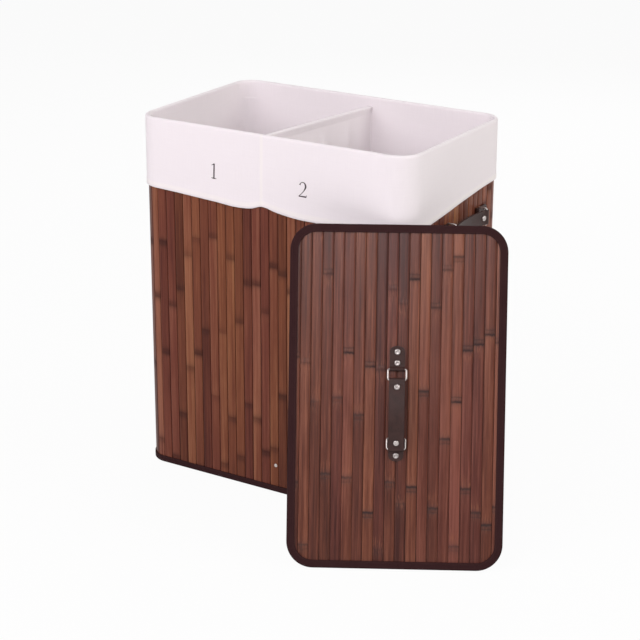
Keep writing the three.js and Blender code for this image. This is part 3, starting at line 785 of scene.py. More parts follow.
def brown_leather():
    """Smooth dark leather: a pebbled grain of small cells, worn lighter in patches."""
    material, tree = new_material("brown_leather")
    place = object_place(tree)
    cells = node(
        tree, "ShaderNodeTexVoronoi", {"feature": "DISTANCE_TO_EDGE"}, Vector=place, Scale=1100.0,
    )
    pebbles = value_range(ShaderValue(cells.outputs["Distance"]), 0, 0.12)
    [worn] = use_group(tree, wear, Place=place, Scale=90.0)
    return surface(
        material, Base_Color=blend_colours(worn * 0.7, colour(46, 27, 24), colour(68, 43, 39)),
        Roughness=value_range(worn, 0, 1, 0.36, 0.5), Specular_IOR_Level=0.3,
        Normal=bump(pebbles, leather_relief, 0.5),
    )


def bright_metal(name, tint, rough):
    """Plated metal with fine scratches and faint smudges in its shine."""
    material, tree = new_material(name)
    place = object_place(tree)
    [worn] = use_group(tree, wear, Place=place, Scale=220.0)
    scratches = noise(place, (5000.0, 900.0, 2500.0))
    return surface(
        material, Base_Color=blend_colours(worn * 0.3, tint, colour(150, 142, 138)), Metallic=1.0,
        Roughness=value_range(worn, 0, 1, rough, rough + 0.14), Normal=bump(scratches, scratch_relief, 0.4),
    )


def pressed_board():
    """Brown pressed board: short fibres in every direction, and specks."""
    material, tree = new_material("pressed_board")
    place = object_place(tree)
    fibres = noise(place, (700.0, 260.0, 700.0), 4.0, 0.7)
    specks = value_range(noise(place, 900.0), 0.62, 0.7)
    base = colour_ramp(fibres, [(0.3, colour(56, 34, 28)), (0.7, colour(80, 52, 43))])
    return surface(
        material, Base_Color=blend_colours(specks, base, colour(100, 74, 62)), Roughness=0.75,
        Normal=bump(fibres, wood_relief, 0.5),
    )


def plain_wood():
    """Planed wood with its grain along Y."""
    material, tree = new_material("plain_wood")
    grain = noise(object_place(tree), (420.0, 9.0, 300.0), 4.0, 0.6)
    base = colour_ramp(grain, [(0.3, colour(112, 82, 56)), (0.7, colour(168, 134, 98))])
    return surface(material, Base_Color=base, Roughness=0.6, Normal=bump(grain, wood_relief, 0.5))


def printed_ink():
    """Dark ink printed on cotton: the weave shows through as fine lighter specks."""
    material, tree = new_material("printed_ink")
    specks = noise(object_place(tree), 1400.0)
    base = colour_ramp(specks, [(0.45, colour(62, 48, 52)), (0.75, colour(92, 76, 80))])
    return surface(material, Base_Color=base, Roughness=0.8)


wall_wood = bamboo(
    "walnut_bamboo", colour(85, 45, 33), colour(122, 71, 49), colour(157, 106, 74), colour(52, 29, 26),
    fibrous=1.1, smudged=0.65, cracked=0.15, pale=0.1, shine=0.1,
)
lid_wood = bamboo(
    "lid_bamboo", colour(66, 29, 19), colour(99, 51, 34), colour(136, 81, 58), colour(42, 16, 12),
    fibrous=2.0, smudged=0.4, cracked=0.7, pale=0.8, shine=0.42,
)
cotton = cotton_cloth("white_cotton")
tape_cloth = binding_tape()
backing_brown_and_gap_shade = backing_cloth()
leather = brown_leather()
nickel = bright_metal("bright_nickel", colour(205, 197, 194), 0.24)
steel = bright_metal("steel_wire", colour(150, 152, 155), 0.35)
board = pressed_board()
bar_wood = plain_wood()
ink = printed_ink()


# Slats

def slat_section(width):
    """Across and depth of one slat's closed section: a crowned front, 1 minus the square of the share
    from its middle, with edges that round off as its 16th power, and a flat back."""
    front = np.array([-1, -0.96, -0.86, -0.6, -0.25, 0.25, 0.6, 0.86, 0.96, 1])
    across_share = np.concatenate([front, [1, -1]])
    crown = slat_crown * (1 - front ** 2) - slat_edge_round * front ** 16
    depth = np.concatenate([slat_thickness + crown, [0, 0]])
    return across_share * width[:, None] / 2, np.broadcast_to(depth, (len(width), len(depth)))


def slat_maps(across, along, seed):
    """UV maps of slats: "fibre" holds metres across and along, moved by chance for each slat, and
    "joint" the distance to the joint nearest to each face and the slat's tone. The distance's sign
    is turned at every other joint, so that what differs on its two sides meets again midway."""
    wild = np.random.default_rng(seed)
    count = len(across)
    furthest_shift = 30
    shift = wild.uniform(0, furthest_shift, (count, 1, 1))
    fibre = joined(across[:, None] + shift, along + shift)
    spacing = joint_spacing + joint_spacing_spread * wild.uniform(-1, 1, (count, 1))
    places = (wild.uniform(-1, 0, (count, 1)) + np.arange(joints_on_slat)) * spacing
    ends = joined(along[:, :-1], along[:, 1:])
    middles = ends.mean(axis=(2, 3))
    nearest = np.abs(middles[:, :, None] - places[:, None]).argmin(axis=2)
    place = np.take_along_axis(places, nearest, axis=1)[:, :, None, None]
    sign = np.where(nearest % 2 == 0, 1, -1)[:, :, None, None]
    off = (ends - place) * sign
    tone = np.broadcast_to(wild.beta(2, 2, count)[:, None, None], off.shape[:3])
    lower, upper = (joined(off[..., k], tone) for k in (0, 1))
    joint = np.stack([lower, upper, np.roll(upper, -1, axis=2), np.roll(lower, -1, axis=2)], 3)
    ring = np.concatenate([fibre, fibre[:, :, :1]], axis=2)
    return {"fibre": face_corners(ring), "joint": joint.reshape(-1, 2)}


def slat_piece(name, points, maps):
    """Closed shells, one for each slat, from points with the axes slat, row, place in the section."""
    count, rows, columns = points.shape[:3]
    faces = grid_faces(rows, columns, round_columns=True)
    starts = np.arange(count) * rows * columns
    every = (faces[None] + starts[:, None, None]).reshape(-1, 4)
    caps = [
        start + row * columns + np.arange(columns) for row in (0, rows - 1) for start in starts
    ]
    return close_up(new_piece(name, points, every, maps, caps), wood_sharp)


def wall_joints():
    """Distances run round the wall at which one slat meets the next: even steps on each straight and
    each corner, starting at the left side's straight."""
    ends = np.append(wall_knots[0][2:9], wall_knots[0][1:3] + wall_run)
    counts = [side_slats, corner_slats, front_slats, corner_slats] * 2
    joints = [np.linspace(*stretch, endpoint=False) for stretch in zip(ends, ends[1:], counts)]
    return np.concatenate(joints) % wall_run


def wall_slats():
    """The wall's slats, upright between neighbouring joints of the outline, each with its own small
    differences in width and depth."""
    low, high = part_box("slat_wall")
    starts, _ = outline(wall_knots, wall_joints())
    ends = np.roll(starts, -1, axis=0)
    chord = ends - starts
    pitch = np.linalg.norm(chord, axis=1)
    tangent = chord / pitch[:, None]
    normal = joined(tangent[:, 1], -tangent[:, 0])
    wild = np.random.default_rng(5)
    width = pitch - slat_gap + slat_gap_spread * wild.uniform(-1, 1, len(pitch))
    across, depth = slat_section(width)
    depth = depth - slat_thickness + slat_depth_spread * wild.uniform(-1, 0, (len(pitch), 1))
    rows = np.linspace(low.z, high.z, slat_rows)
    along = np.broadcast_to(rows[None, :, None], (len(pitch), slat_rows, across.shape[1]))
    plan = ((starts + ends) / 2)[:, None] + across[..., None] * tangent[:, None]
    plan = plan + depth[..., None] * normal[:, None]
    points = with_height(plan[:, None], along)
    piece = slat_piece("wall_slats", points, slat_maps(across, along, seed=11))
    return dress(piece, wall_wood, "hamper", ["slat_wall"])


# The lid's own directions: across it, up along its face, and out of its face

def lid_frame():
    """Foot of the lid and its three directions, from the handle's pivots and the lid's lean."""
    joints = {joint["name"]: joint for joint in frame["joints"]}
    across = -np.array(joints["lid_handle_swing"]["axis"])
    upper = np.array(joints["lid_handle_swing"]["pos_m"])
    lower = np.array(joints["lid_lower_ring_swing"]["pos_m"])
    up = unit(upper - lower)
    out = np.cross(across, up)
    middle = (upper + lower) / 2 - out * (lid_slat_top + pivot_height)
    foot = middle - up * middle[2] / up[2]
    return foot, across, up, out


lid_foot, lid_across, lid_up, lid_out = lid_frame()
lid_knots = outline_knots((-lid_width / 2, 0), (lid_width / 2, lid_length), [lid_radius] * 4)


def on_lid(plan, height):
    """Points given in plan, across the lid and up from its lower edge, and out from its inner face."""
    across, along, out = np.moveaxis(with_height(plan, height)[..., None], -2, 0)
    return lid_foot + across * lid_across + along * lid_up + out * lid_out


def lid_slat_piece():
    """The lid's slats; each ends on the lid's rounded outline, a quarter circle at the corners."""
    pitch = lid_width / lid_slats
    wild = np.random.default_rng(9)
    centre = (np.arange(lid_slats) + 0.5) * pitch - lid_width / 2
    width = pitch - lid_slat_gap + slat_gap_spread * wild.uniform(-1, 1, lid_slats)
    across, depth = slat_section(width)
    edge = 2 * tape_thickness
    across = np.clip(across + centre[:, None], edge - lid_width / 2, lid_width / 2 - edge)
    depth = depth + lid_slat_bottom - slat_depth_spread * wild.uniform(0, 1, (lid_slats, 1))
    inward = np.clip(lid_radius - (lid_width / 2 - np.abs(across)), 0, lid_radius)
    end = lid_radius - np.sqrt(lid_radius ** 2 - inward ** 2) + edge
    share = np.linspace(0, 1, slat_rows)[None, :, None]
    along = end[:, None] + (lid_length - 2 * end[:, None]) * share
    plan = joined(across[:, None], along)
    points = on_lid(plan, depth[:, None])
    piece = slat_piece("lid_slat_face", points, slat_maps(across, along, seed=23))
    return dress(piece, lid_wood, "lid", ["lid_slats"])


# Bindings and backing

def tape_piece(name, knots, section, place_points, body, node_name):
    """Binding tape: a section carried round an outline. Its insets go in along the outline's normal and
    its second values are heights. The map holds metres round it and from its nearer long edge."""
    distance = even_run(knots, tape_columns)
    point, normal = outline(knots, distance)
    plan = point[None] - section[:, :1, None] * normal[None]
    points = place_points(plan, section[:, 1:])
    length = path_lengths(section)
    run = float(knots[0][-1])
    grid = cloth_grid(np.append(distance, run), np.minimum(length, length[-1] - length))
    piece = cloth_piece(name, points, grid, tape_thickness)
    return dress(piece, tape_cloth, body, [node_name])


def wall_tape(name, node_name, edge, drop):
    """Binding tape folded over one edge of the wall: along the outside to the edge, round it on a half
    ellipse, and back along the inside. The outer face swells between the tape's edge and its fold."""
    outer, inner = -(fit_gap + tape_thickness), wall_grip + fit_gap + tape_thickness
    face = edge + drop * tape_shares
    outside = joined(outer - tape_puff * np.sin(math.pi * tape_shares), face)
    angle = angles_between(0, math.pi, 7)
    middle, half = (outer + inner) / 2, (inner - outer) / 2
    fold_height = tape_fold_share * drop
    fold = joined(middle - half * np.cos(angle), edge + fold_height * (1 - np.sin(angle)))
    inside = joined(inner, face)[::-1]
    section = np.concatenate([outside, fold, inside])
    if drop < 0:
        section = section[::-1]
    return tape_piece(name, wall_knots, section, with_height, "hamper", node_name)


def lid_binding():
    """Binding tape folded round the lid's edge: over its inner face, across the edge, over its front."""
    face = lid_tape_face * tape_shares
    puff = tape_puff * np.sin(math.pi * tape_shares)
    back = joined(face, 0)
    angle = angles_between(0, math.pi, 9)
    half = lid_thickness / 2
    fold = tape_fold_share * lid_tape_face
    edge = joined(fold * (1 - np.sin(angle)), half - half * np.cos(angle))
    front = joined(face, lid_thickness + puff - tape_puff)[::-1]
    section = np.concatenate([back, edge, front])
    return tape_piece("lid_binding", lid_knots, section, on_lid, "lid", "lid_tape")


def wall_backing_cloth():
    """Cloth behind the wall's slats, drawn in a little at every joint between two slats."""
    low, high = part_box("wall_backing")
    distance = even_run(wall_knots, backing_columns)
    point, normal = outline(wall_knots, distance)
    off = np.abs(distance[:, None] - wall_joints()).min(axis=1)
    inset = backing_inset + backing_draw * (1 - bell(off, backing_draw_width))
    plan = point - inset[:, None] * normal
    height = np.linspace(high.z, low.z, 6)
    piece = cloth_piece(
        "wall_backing_cloth", with_height(plan[None], height[:, None]),
        cloth_grid(np.append(distance, wall_run), height), backing_thickness - backing_draw,
    )
    return dress(piece, backing_brown_and_gap_shade, "hamper", ["wall_backing"])


def lid_lining_cloth():
    """Cloth on the lid's inner face: rows across the lid, as wide as its rounded outline is there, a
    quarter circle at the corners, with a shallow quilt of two crossing waves."""
    inset = tape_thickness + fit_gap
    half_length, half_width = lid_length / 2 - inset, lid_width / 2 - inset
    radius = lid_radius - inset
    straight = half_length - radius
    ends = straight + radius * np.sin(np.radians(np.linspace(0, 90, 10)))
    rows = np.concatenate([-ends[::-1], np.linspace(-straight, straight, 40)[1:-1], ends])
    past = np.clip(np.abs(rows) - straight, 0, radius)
    half = half_width - radius + np.sqrt(radius ** 2 - past ** 2)
    across = half[:, None] * np.linspace(-1, 1, 28)
    along = np.broadcast_to(rows[:, None], across.shape) + lid_length / 2
    wave = np.sin(across / quilt_across) * np.sin(along / quilt_along)
    plan = joined(across, along)
    points = on_lid(plan, lining_face - quilt_depth * wave)
    piece = cloth_piece("lid_lining_cloth", points, plan, lining_thickness, closed=False)
    return dress(piece, backing_brown_and_gap_shade, "lid", ["lid_lining"])


# Liner

# The hem's shape, the same as the model's: for each side, the place along it as a share of its length
# and the drop below the rim as a share of the cuff's drop
hem_shares = {
    "front": [
        (0.06, 1.0), (0.3, 1.05), (0.395, 1.07), (0.44, 1.05), (0.478, 1.0), (0.53, 1.045),
        (0.6, 1.085), (0.68, 1.092), (0.95, 1.07),
    ],
    "right": [(0.2, 1.035), (0.5, 0.955), (0.88, 0.865)],
    "back": [(0.1, 0.86), (0.4, 0.9), (0.5, 0.87), (0.6, 0.91), (0.9, 0.95)],
    "left": [(0.1, 0.96), (0.5, 1.01), (0.9, 0.99)],
}


def hem_drop(distance):
    """Drop of the cuff's hem below the rim, along a smooth curve through the hem's knots: between two
    knots a cubic whose slopes there are those of the line through their neighbours."""
    lengths = {"front": hamper_length, "back": hamper_length, "right": hamper_width, "left": hamper_width}
    knots = sorted(
        ((side_starts[side] + share * lengths[side] - corner_radius) % wall_run, drop)
        for side, places in hem_shares.items() for share, drop in places
    )
    place, drop = np.array(knots).T
    place = np.concatenate([place - wall_run, place, place + wall_run])
    drop = np.tile(drop, 3)
    slope = np.gradient(drop, place)
    i = np.clip(np.searchsorted(place, distance) - 1, 0, len(place) - 2)
    gap = place[i + 1] - place[i]
    t = (distance - place[i]) / gap
    value = (
        (2 * t ** 3 - 3 * t ** 2 + 1) * drop[i] + (t ** 3 - 2 * t ** 2 + t) * gap * slope[i]
        + (3 * t ** 2 - 2 * t ** 3) * drop[i + 1] + (t ** 3 - t ** 2) * gap * slope[i + 1]
    )
    return value * cuff_drop


def front_run(x):
    """Distance run round the wall to a place on its front."""
    return side_starts["front"] + x - wall_low[0] - corner_radius


def cuff_outset(distance, share):
    """How far the cuff's outer skin stands off the wall's outline: soft ripples that grow downwards,
    and at the front seam a line drawn in between two low puffs. Share is 0 at the rim, 1 at the hem."""
    ripple = 0.5 + 0.5 * soft_folds(distance / wall_run, share, cuff_wave_counts, seed=3)
    off = distance - front_run(seam_place)
    seam = seam_puff * bell(off, seam_puff_width) * share - seam_crease * bell(off, seam_crease_width)
    return cuff_outside + cuff_ripple * ease(share, *cuff_ripple_shares) * ripple + seam


def cuff_cloth():
    """Cuff: up the inside, over the rim on half an ellipse, down the outside, and turned under at the
    hem. Rows follow that path, columns the rim."""
    distance = even_run(wall_knots, cuff_columns)
    level = 0 * distance
    point, normal = outline(wall_knots, distance)
    drop = hem_drop(distance)
    rows = []
    inner_folds = 1.5 + soft_folds(distance / wall_run, 0, cuff_inner_wave_counts, seed=8)
    inner_depths = np.linspace(cuff_inner_drop, rim_height, 7)
    for depth in np.insert(inner_depths, 1, cuff_inner_drop - edge_row):
        inset = cuff_inset + cuff_inner_fold * ease(depth, 0, cuff_inner_drop) * inner_folds
        rows.append((inset, hamper_height - depth + level))
    middle, half = (cuff_inset - cuff_outside) / 2, (cuff_inset + cuff_outside) / 2
    for angle in angles_between(0, math.pi, 9):
        rim = hamper_height - rim_height * (1 - math.sin(angle))
        rows.append((middle + half * math.cos(angle) + level, rim + level))
    hem_share = hem_fold / drop
    for down in np.linspace(rim_height / cuff_drop, 1, 34):
        raised = hem_raise * ease(down, 1 - hem_share - hem_raise_share, 1 - hem_share)
        from_stitch = (down - 1 + hem_share) * drop - hem_stitch_place
        stitched = hem_stitch_depth * bell(from_stitch, hem_stitch_width)
        rows.append((stitched - raised - cuff_outset(distance, down), hamper_height - down * drop))
    hem_row = len(rows) - 1
    hem_inset, hem_height = rows[hem_row]
    rows += [(hem_inset + step_in, hem_height + rise) for step_in, rise in hem_turn]
    inset, height = (np.array(part) for part in zip(*rows))
    points = with_height(point[None] - inset[..., None] * normal[None], height)
    length = path_lengths(points)
    hem_middle = float(length[hem_row]) - hem_fold / 2
    # Light cream bands: a cream tone along the seam, and a painted highlight along the hem's fold
    cuff_cotton = cotton_cloth("cuff_cotton", [
        (0, front_run(seam_place), seam_width / 2), (1, hem_middle, hem_fold / 2),
    ])
    grid = cloth_grid(np.append(distance, wall_run), length)
    piece = cloth_piece("cuff", points, grid, cloth_thickness)
    return dress(piece, cuff_cotton, "liner", ["liner_cuff"])


def divider_line(y, height):
    """X of the divider: a straight line from front to back, swelling to the left as the product of two
    half sine waves, across and down, and with soft upright folds that begin below its hem. The folds
    are a sine wave whose run is itself drawn out and in by a slower one."""
    share = (y + hamper_width / 2) / hamper_width
    down = np.clip(height / hamper_height, 0, 1)
    swell = divider_billow * np.sin(math.pi * share) * np.sin(math.pi * down)
    turns = y / divider_fold_run
    wave = np.sin(turns + divider_fold_stray * np.sin(divider_fold_beat * turns))
    below_hem = hamper_height - divider_back_drop - divider_hem_height - height
    fold = divider_fold * wave * ease(below_hem, 0, divider_fold_start) * ease(height, 0, divider_fold_end)
    return divider_front + (divider_back - divider_front) * share - swell + fold


def divider_top(y):
    """Height of the divider's top edge: a straight line from front to back."""
    share = np.clip((y + hamper_width / 2) / hamper_width, 0, 1)
    return hamper_height - divider_front_drop - (divider_back_drop - divider_front_drop) * share


def bag_side_line(side, y, height):
    """X of one bag's wall at the divider. The right bag's slants away to pass beside the cross bar."""
    hanging = divider_line(y, height) + side * (divider_gap + cloth_thickness)
    if side < 0:
        return hanging
    down = ease(height, bar_top, hamper_height)
    return np.maximum(hanging, hanging * down + bar_side * (1 - down))


def bag_cloth(name, node_name, side):
    """One bag: its walls hang in soft folds from the rim, round into the foot on a quarter circle and
    close over the floor. Rows go down the walls and in over the floor, columns round the bag. The
    corners at the divider start on the small radius of their seam and widen on the way down. At each
    row, share is how far down the wall it is, angle how far round the foot, and draw how far out from
    the floor's middle."""
    reach = np.array([hamper_length / 2, hamper_width / 2]) - bag_inset
    inner, edge = side * bag_inner_edge, side * reach[0]
    low = np.array([min(edge, inner), -reach[1]])
    high = np.array([max(edge, inner), reach[1]])
    outer_radius = corner_radius - bag_inset
    foot_height = bag_floor + bag_foot_radius
    top = hamper_height - bag_top_drop

    def knots_with(seam_radius):
        """The bag's outline with this radius at its two corners on the divider."""
        at_inner, at_outer = [seam_radius] * 2, [outer_radius] * 2
        return outline_knots(low, high, at_inner + at_outer if side > 0 else at_outer + at_inner)

    widest = knots_with(bag_inner_radius)
    run = float(widest[0][-1])
    knot_numbers = np.arange(len(widest[0]))
    place = stretch_places(widest, bag_column_step, 7)
    upright = np.concatenate([bag_top_rows / (top - foot_height), np.linspace(0.07, 1, 40)])
    share, angle, draw = np.concatenate([
        joined(upright, 0, 1), joined(1, np.linspace(0, math.pi / 2, 7)[1:], 1),
        joined(1, math.pi / 2, np.linspace(0.93, 0.02, 9)),
    ]).T[..., None]
    widened = ease(share[:, 0], *bag_widen_shares)
    radii = bag_seam_radius + (bag_inner_radius - bag_seam_radius) * widened
    outlines = [outline(knots, np.interp(place, knot_numbers, knots[0])) for knots in map(knots_with, radii)]
    point, normal = (np.array(part) for part in zip(*outlines))

    # 1 along the divider's straight, 0 past the corners at its two ends
    first_knot = 2 if side > 0 else 6
    at_divider = ease(place, first_knot - 0.5, first_knot - 0.2)
    at_divider = at_divider * (1 - ease(place, first_knot + 1.2, first_knot + 1.5))
    hem_line = divider_top(point[0, :, 1]) - divider_hem_height + bag_under_hem
    top = top + at_divider * (hem_line - top)

    height = top + (foot_height - top) * share - bag_foot_radius * np.sin(angle)
    swell = ease(share, *bag_swell_shares) * (1 - bag_settle_share * ease(share, *bag_settle_shares))
    round_share = place[None] / knot_numbers[-1]
    waves = soft_folds(round_share, bag_wave_lean * share, bag_wave_counts, seed=30 + side)
    folds = 0.5 + 0.5 * waves
    above_cuff_end = height - (hamper_height - cuff_inner_drop)
    tuck = bag_top_tuck * ease(above_cuff_end, *bag_tuck_range)
    inset = (bag_fold * swell * folds - tuck) * (1 - at_divider) + bag_foot_radius * (1 - np.cos(angle))
    plan = point - inset[..., None] * normal
    centre = (low + high) / 2
    plan = centre + (plan - centre) * draw[..., None]
    wrinkle = soft_folds(round_share, bag_wrinkle_lean * draw, bag_wrinkle_counts, seed=50 + side)
    height = height + bag_floor_wrinkle * (1 - draw) * (1 + wrinkle)
    wanted = bag_side_line(side, plan[..., 1], height)
    x = edge + (plan[..., 0] - edge) * (wanted - edge) / (inner - edge)
    points = joined(x, plan[..., 1], height)

    rows, columns = points.shape[:2]
    around = np.append(np.interp(place, knot_numbers, widest[0]), run)
    piece = cloth_piece(
        name, points, cloth_grid(around, path_lengths(points)), cloth_thickness,
        caps=[(rows - 1) * columns + np.arange(columns)], offset=1,
    )
    floor_area = float(np.prod(high - low))
    flat_height = float(top.mean() - bag_floor + floor_area / run)
    return dress(piece, cotton, "liner", [node_name])


def divider_band():
    """Folded band along the divider's top edge: up its left side, over the top on a half circle, and
    down its right side. It narrows from the roll of the fold down to its sewn edge."""
    reach = hamper_width / 2 - cuff_inset + divider_into_cuff
    y = np.linspace(-reach, reach, 60)
    drop = np.linspace(divider_hem_height, divider_roll, 12)
    drop = np.insert(drop, 1, divider_hem_height - edge_row)
    fold_share = (divider_hem_height - drop) / (divider_hem_height - divider_roll)
    half = divider_foot + (divider_roll - divider_foot) * fold_share
    angle = angles_between(0, math.pi, 7)
    across = np.concatenate([-half, -divider_roll * np.cos(angle), half[::-1]])[:, None]
    up = np.concatenate([-drop, divider_roll * (np.sin(angle) - 1), -drop[::-1]])[:, None]
    height = divider_top(y)[None] + up
    pucker = divider_pucker * np.sin(y / divider_pucker_run)
    pucker = pucker * bell(up + divider_seam_drop, divider_seam_width) * np.sign(across)
    x = divider_line(y[None], height) + across + pucker
    points = joined(x, y[None], height)
    length = path_lengths(np.concatenate([across, up], -1))
    piece = cloth_piece("divider_band", points, cloth_grid(y, length), cloth_thickness, closed=False)
    return dress(piece, cotton, "liner", ["divider_hem"])


# Printed numbers

def stroke(path, width):
    """Grid of points of a pen stroke: the path moved to both sides along its normal, by up to half the
    width."""
    along = unit(np.gradient(path, axis=0))
    side = joined(-along[:, 1], along[:, 0])
    return path[:, None] + side[:, None] * (width[:, None] * np.linspace(-0.5, 0.5, 5))[..., None]


def line(start, end, count):
    """Points evenly spaced from start to end."""
    share = np.linspace(0, 1, count)[:, None]
    return np.array(start) * (1 - share) + np.array(end) * share


def figure_one():
    """Strokes of a 1 with serifs, in shares of its height: stem, flag and foot."""
    stem = stroke(line((0, 0.03), (0, 0.99), 16), np.full(16, 0.1))
    flag = stroke(line((-0.2, 0.85), (0.02, 0.965), 8), np.linspace(0.03, 0.07, 8))
    foot = line((-0.19, 0.02), (0.19, 0.02), 16)
    return [stem, flag, stroke(foot, 0.04 + 0.05 * bell(foot[:, 0], 0.08))]


def figure_two():
    """Strokes of a 2 with serifs, in shares of its height: a bowl on part of an ellipse that runs into
    a slanting stroke, and a foot."""
    angle = np.radians(np.linspace(170, -30, 20))
    bowl = joined(0.21 * np.cos(angle), 0.73 + 0.24 * np.sin(angle))
    t = np.linspace(0, 1, 12)[1:, None]
    start, bend, end = bowl[-1], np.array([0.09, 0.36]), np.array([-0.25, 0.07])
    path = np.concatenate([bowl, (1 - t) ** 2 * start + 2 * t * (1 - t) * bend + t ** 2 * end])
    share = np.linspace(0, 1, len(path))
    width = 0.04 + 0.075 * bell(share - 0.52, 0.2) + 0.06 * bell(share, 0.07)
    foot = stroke(line((-0.27, 0.05), (0.27, 0.07), 14), np.linspace(0.07, 0.1, 14))
    tip = stroke(line((0.26, 0.04), (0.31, 0.2), 6), np.linspace(0.05, 0.02, 6))
    return [stroke(path, width), foot, tip]


def printed_figure(name, strokes, place):
    """A figure printed on the cuff's front: its strokes are laid on the cuff's ripples."""
    across, up = (np.concatenate([grid.reshape(-1, 2) for grid in strokes]) - [0, 0.5]).T * figure_height
    faces, count = [], 0
    for grid in strokes:
        faces.append(grid_faces(*grid.shape[:2]) + count)
        count += grid.shape[0] * grid.shape[1]
    x = place[0] + across * math.cos(figure_tilt) - up * math.sin(figure_tilt)
    z = place[1] + across * math.sin(figure_tilt) + up * math.cos(figure_tilt)
    distance = front_run(x)
    y = wall_low[1] - cuff_outset(distance, (hamper_height - z) / hem_drop(distance)) - ink_thickness
    piece = thicken(new_piece(name, joined(x, y, z), np.concatenate(faces)), ink_thickness)
    piece.data.materials.append(ink)
    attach(piece, "liner")
    return piece


# Handles

class Handle:
    """A handle's directions and places: across the strap, along it and out of the face that its tabs
    lie on, from the model's joints."""

    def __init__(self, where, upper, lower, bow, strap_rivet, grip, body):
        joints = {joint["name"]: joint for joint in frame["joints"]}
        first = joints[f"{where}_handle_swing"]
        pivots = [
            np.array(joint["pos_m"]) for joint in (first, joints[f"{where}_{lower}_ring_swing"])
        ]
        self.where, self.ends, self.body, self.pivots = where, (upper, lower), body, pivots
        self.bow, self.strap_rivet, self.grip = bow, strap_rivet, grip
        self.across = -np.array(first["axis"], float)
        self.half = np.linalg.norm(pivots[0] - pivots[1]) / 2
        self.along = (pivots[0] - pivots[1]) / (2 * self.half)
        self.out = np.cross(self.across, self.along)
        self.reach = np.array(joints[f"{where}_strap_pivot"]["pos_m"]) - pivots[0]
        self.middle = (pivots[0] + pivots[1]) / 2 + self.reach

    def at(self, origin, across, along, out):
        """Points from an origin, given across the strap, along it and out."""
        across, along, out = (part[..., None] for part in np.broadcast_arrays(across, along, out))
        return origin + across * self.across + along * self.along + out * self.out

    def arc(self):
        """The strap's arc: its radius, its half angle and the side it bows to."""
        radius = (self.half ** 2 + self.bow ** 2) / (2 * abs(self.bow))
        return radius, math.asin(self.half / radius), math.copysign(1, self.bow)


def strip_section(width, crease_depth=0):
    """Closed section of a leather strip: flat faces, edges rounded on a half ellipse, and a crease
    pressed along each side of the outer face."""
    angle = np.linspace(-math.pi / 2, math.pi / 2, 7)
    round_edge = leather_edge_share * leather_thickness
    half = leather_thickness / 2
    right = joined(width / 2 - round_edge * (1 - np.cos(angle)), half * np.sin(angle))
    left = joined(-right[::-1, 0], right[::-1, 1])
    inner = np.linspace(0.9, -0.9, 13) * width / 2
    creases = bell(inner - strap_crease_place, strap_crease_width)
    creases = creases + bell(inner + strap_crease_place, strap_crease_width)
    top = joined(inner, half - crease_depth * creases)
    under = joined(inner[::-1], -half)
    return np.concatenate([right, top, left, under])


def carry_strip(path, step, section):
    """Places in the plane of a path at which a strip's section stands square to its steps."""
    step = unit(step)
    outward = joined(-step[:, 1], step[:, 0])
    return path[:, None] + outward[:, None] * section[None, :, 1:]


def loop_offset(along, lift, radius, layer):
    """Height of a strip's middle above the pivot's level where it leaves a wire: from the loop's
    radius it falls to the layer's height as a bell curve."""
    return layer + (radius - layer) * bell(along, lift)


def strap_piece(handle):
    """The strap: a strip in two layers folded round a wire at each end. Its path goes along the outer
    layer, half round one wire, back along the inner layer and half round the other. It is worked out
    straight, as a run and a rise, and then laid on the strap's arc."""
    radius, half_angle, side = handle.arc()
    layer = leather_thickness / 2
    loop = wire_radius + fit_gap + layer
    length = 2 * half_angle * radius
    s = strap_shares
    lift = loop_offset(np.minimum(s, 1 - s) * length, strap_loop_run, loop, layer)
    angle = angles_between(math.pi / 2, -math.pi / 2, 9)
    run = np.concatenate([
        s * length, length + loop * np.cos(angle), (1 - s) * length, -loop * np.cos(angle),
    ])
    rise = np.concatenate([lift, loop * np.sin(angle), -lift, -loop * np.sin(angle)])
    phi = np.clip(run / length, 0, 1) * 2 * half_angle - half_angle
    beyond = run - np.clip(run, 0, length)
    tangent = joined(np.cos(phi), -side * np.sin(phi))
    normal = joined(side * np.sin(phi), np.cos(phi))
    centre = radius * joined(np.sin(phi), side * (np.cos(phi) - math.cos(half_angle)))
    path = centre + tangent * beyond[:, None] + normal * rise[:, None]
    section = strip_section(strap_width, strap_crease_depth)
    plane = carry_strip(path, np.roll(path, -1, axis=0) - np.roll(path, 1, axis=0), section)
    points = handle.at(handle.middle, section[None, :, 0], plane[..., 0], plane[..., 1])
    piece = shell_piece(f"{handle.where}_leather_strap", points, leather_sharp, ring=True)
    return dress(piece, leather, f"{handle.where}_strap", [f"{handle.where}_strap"])


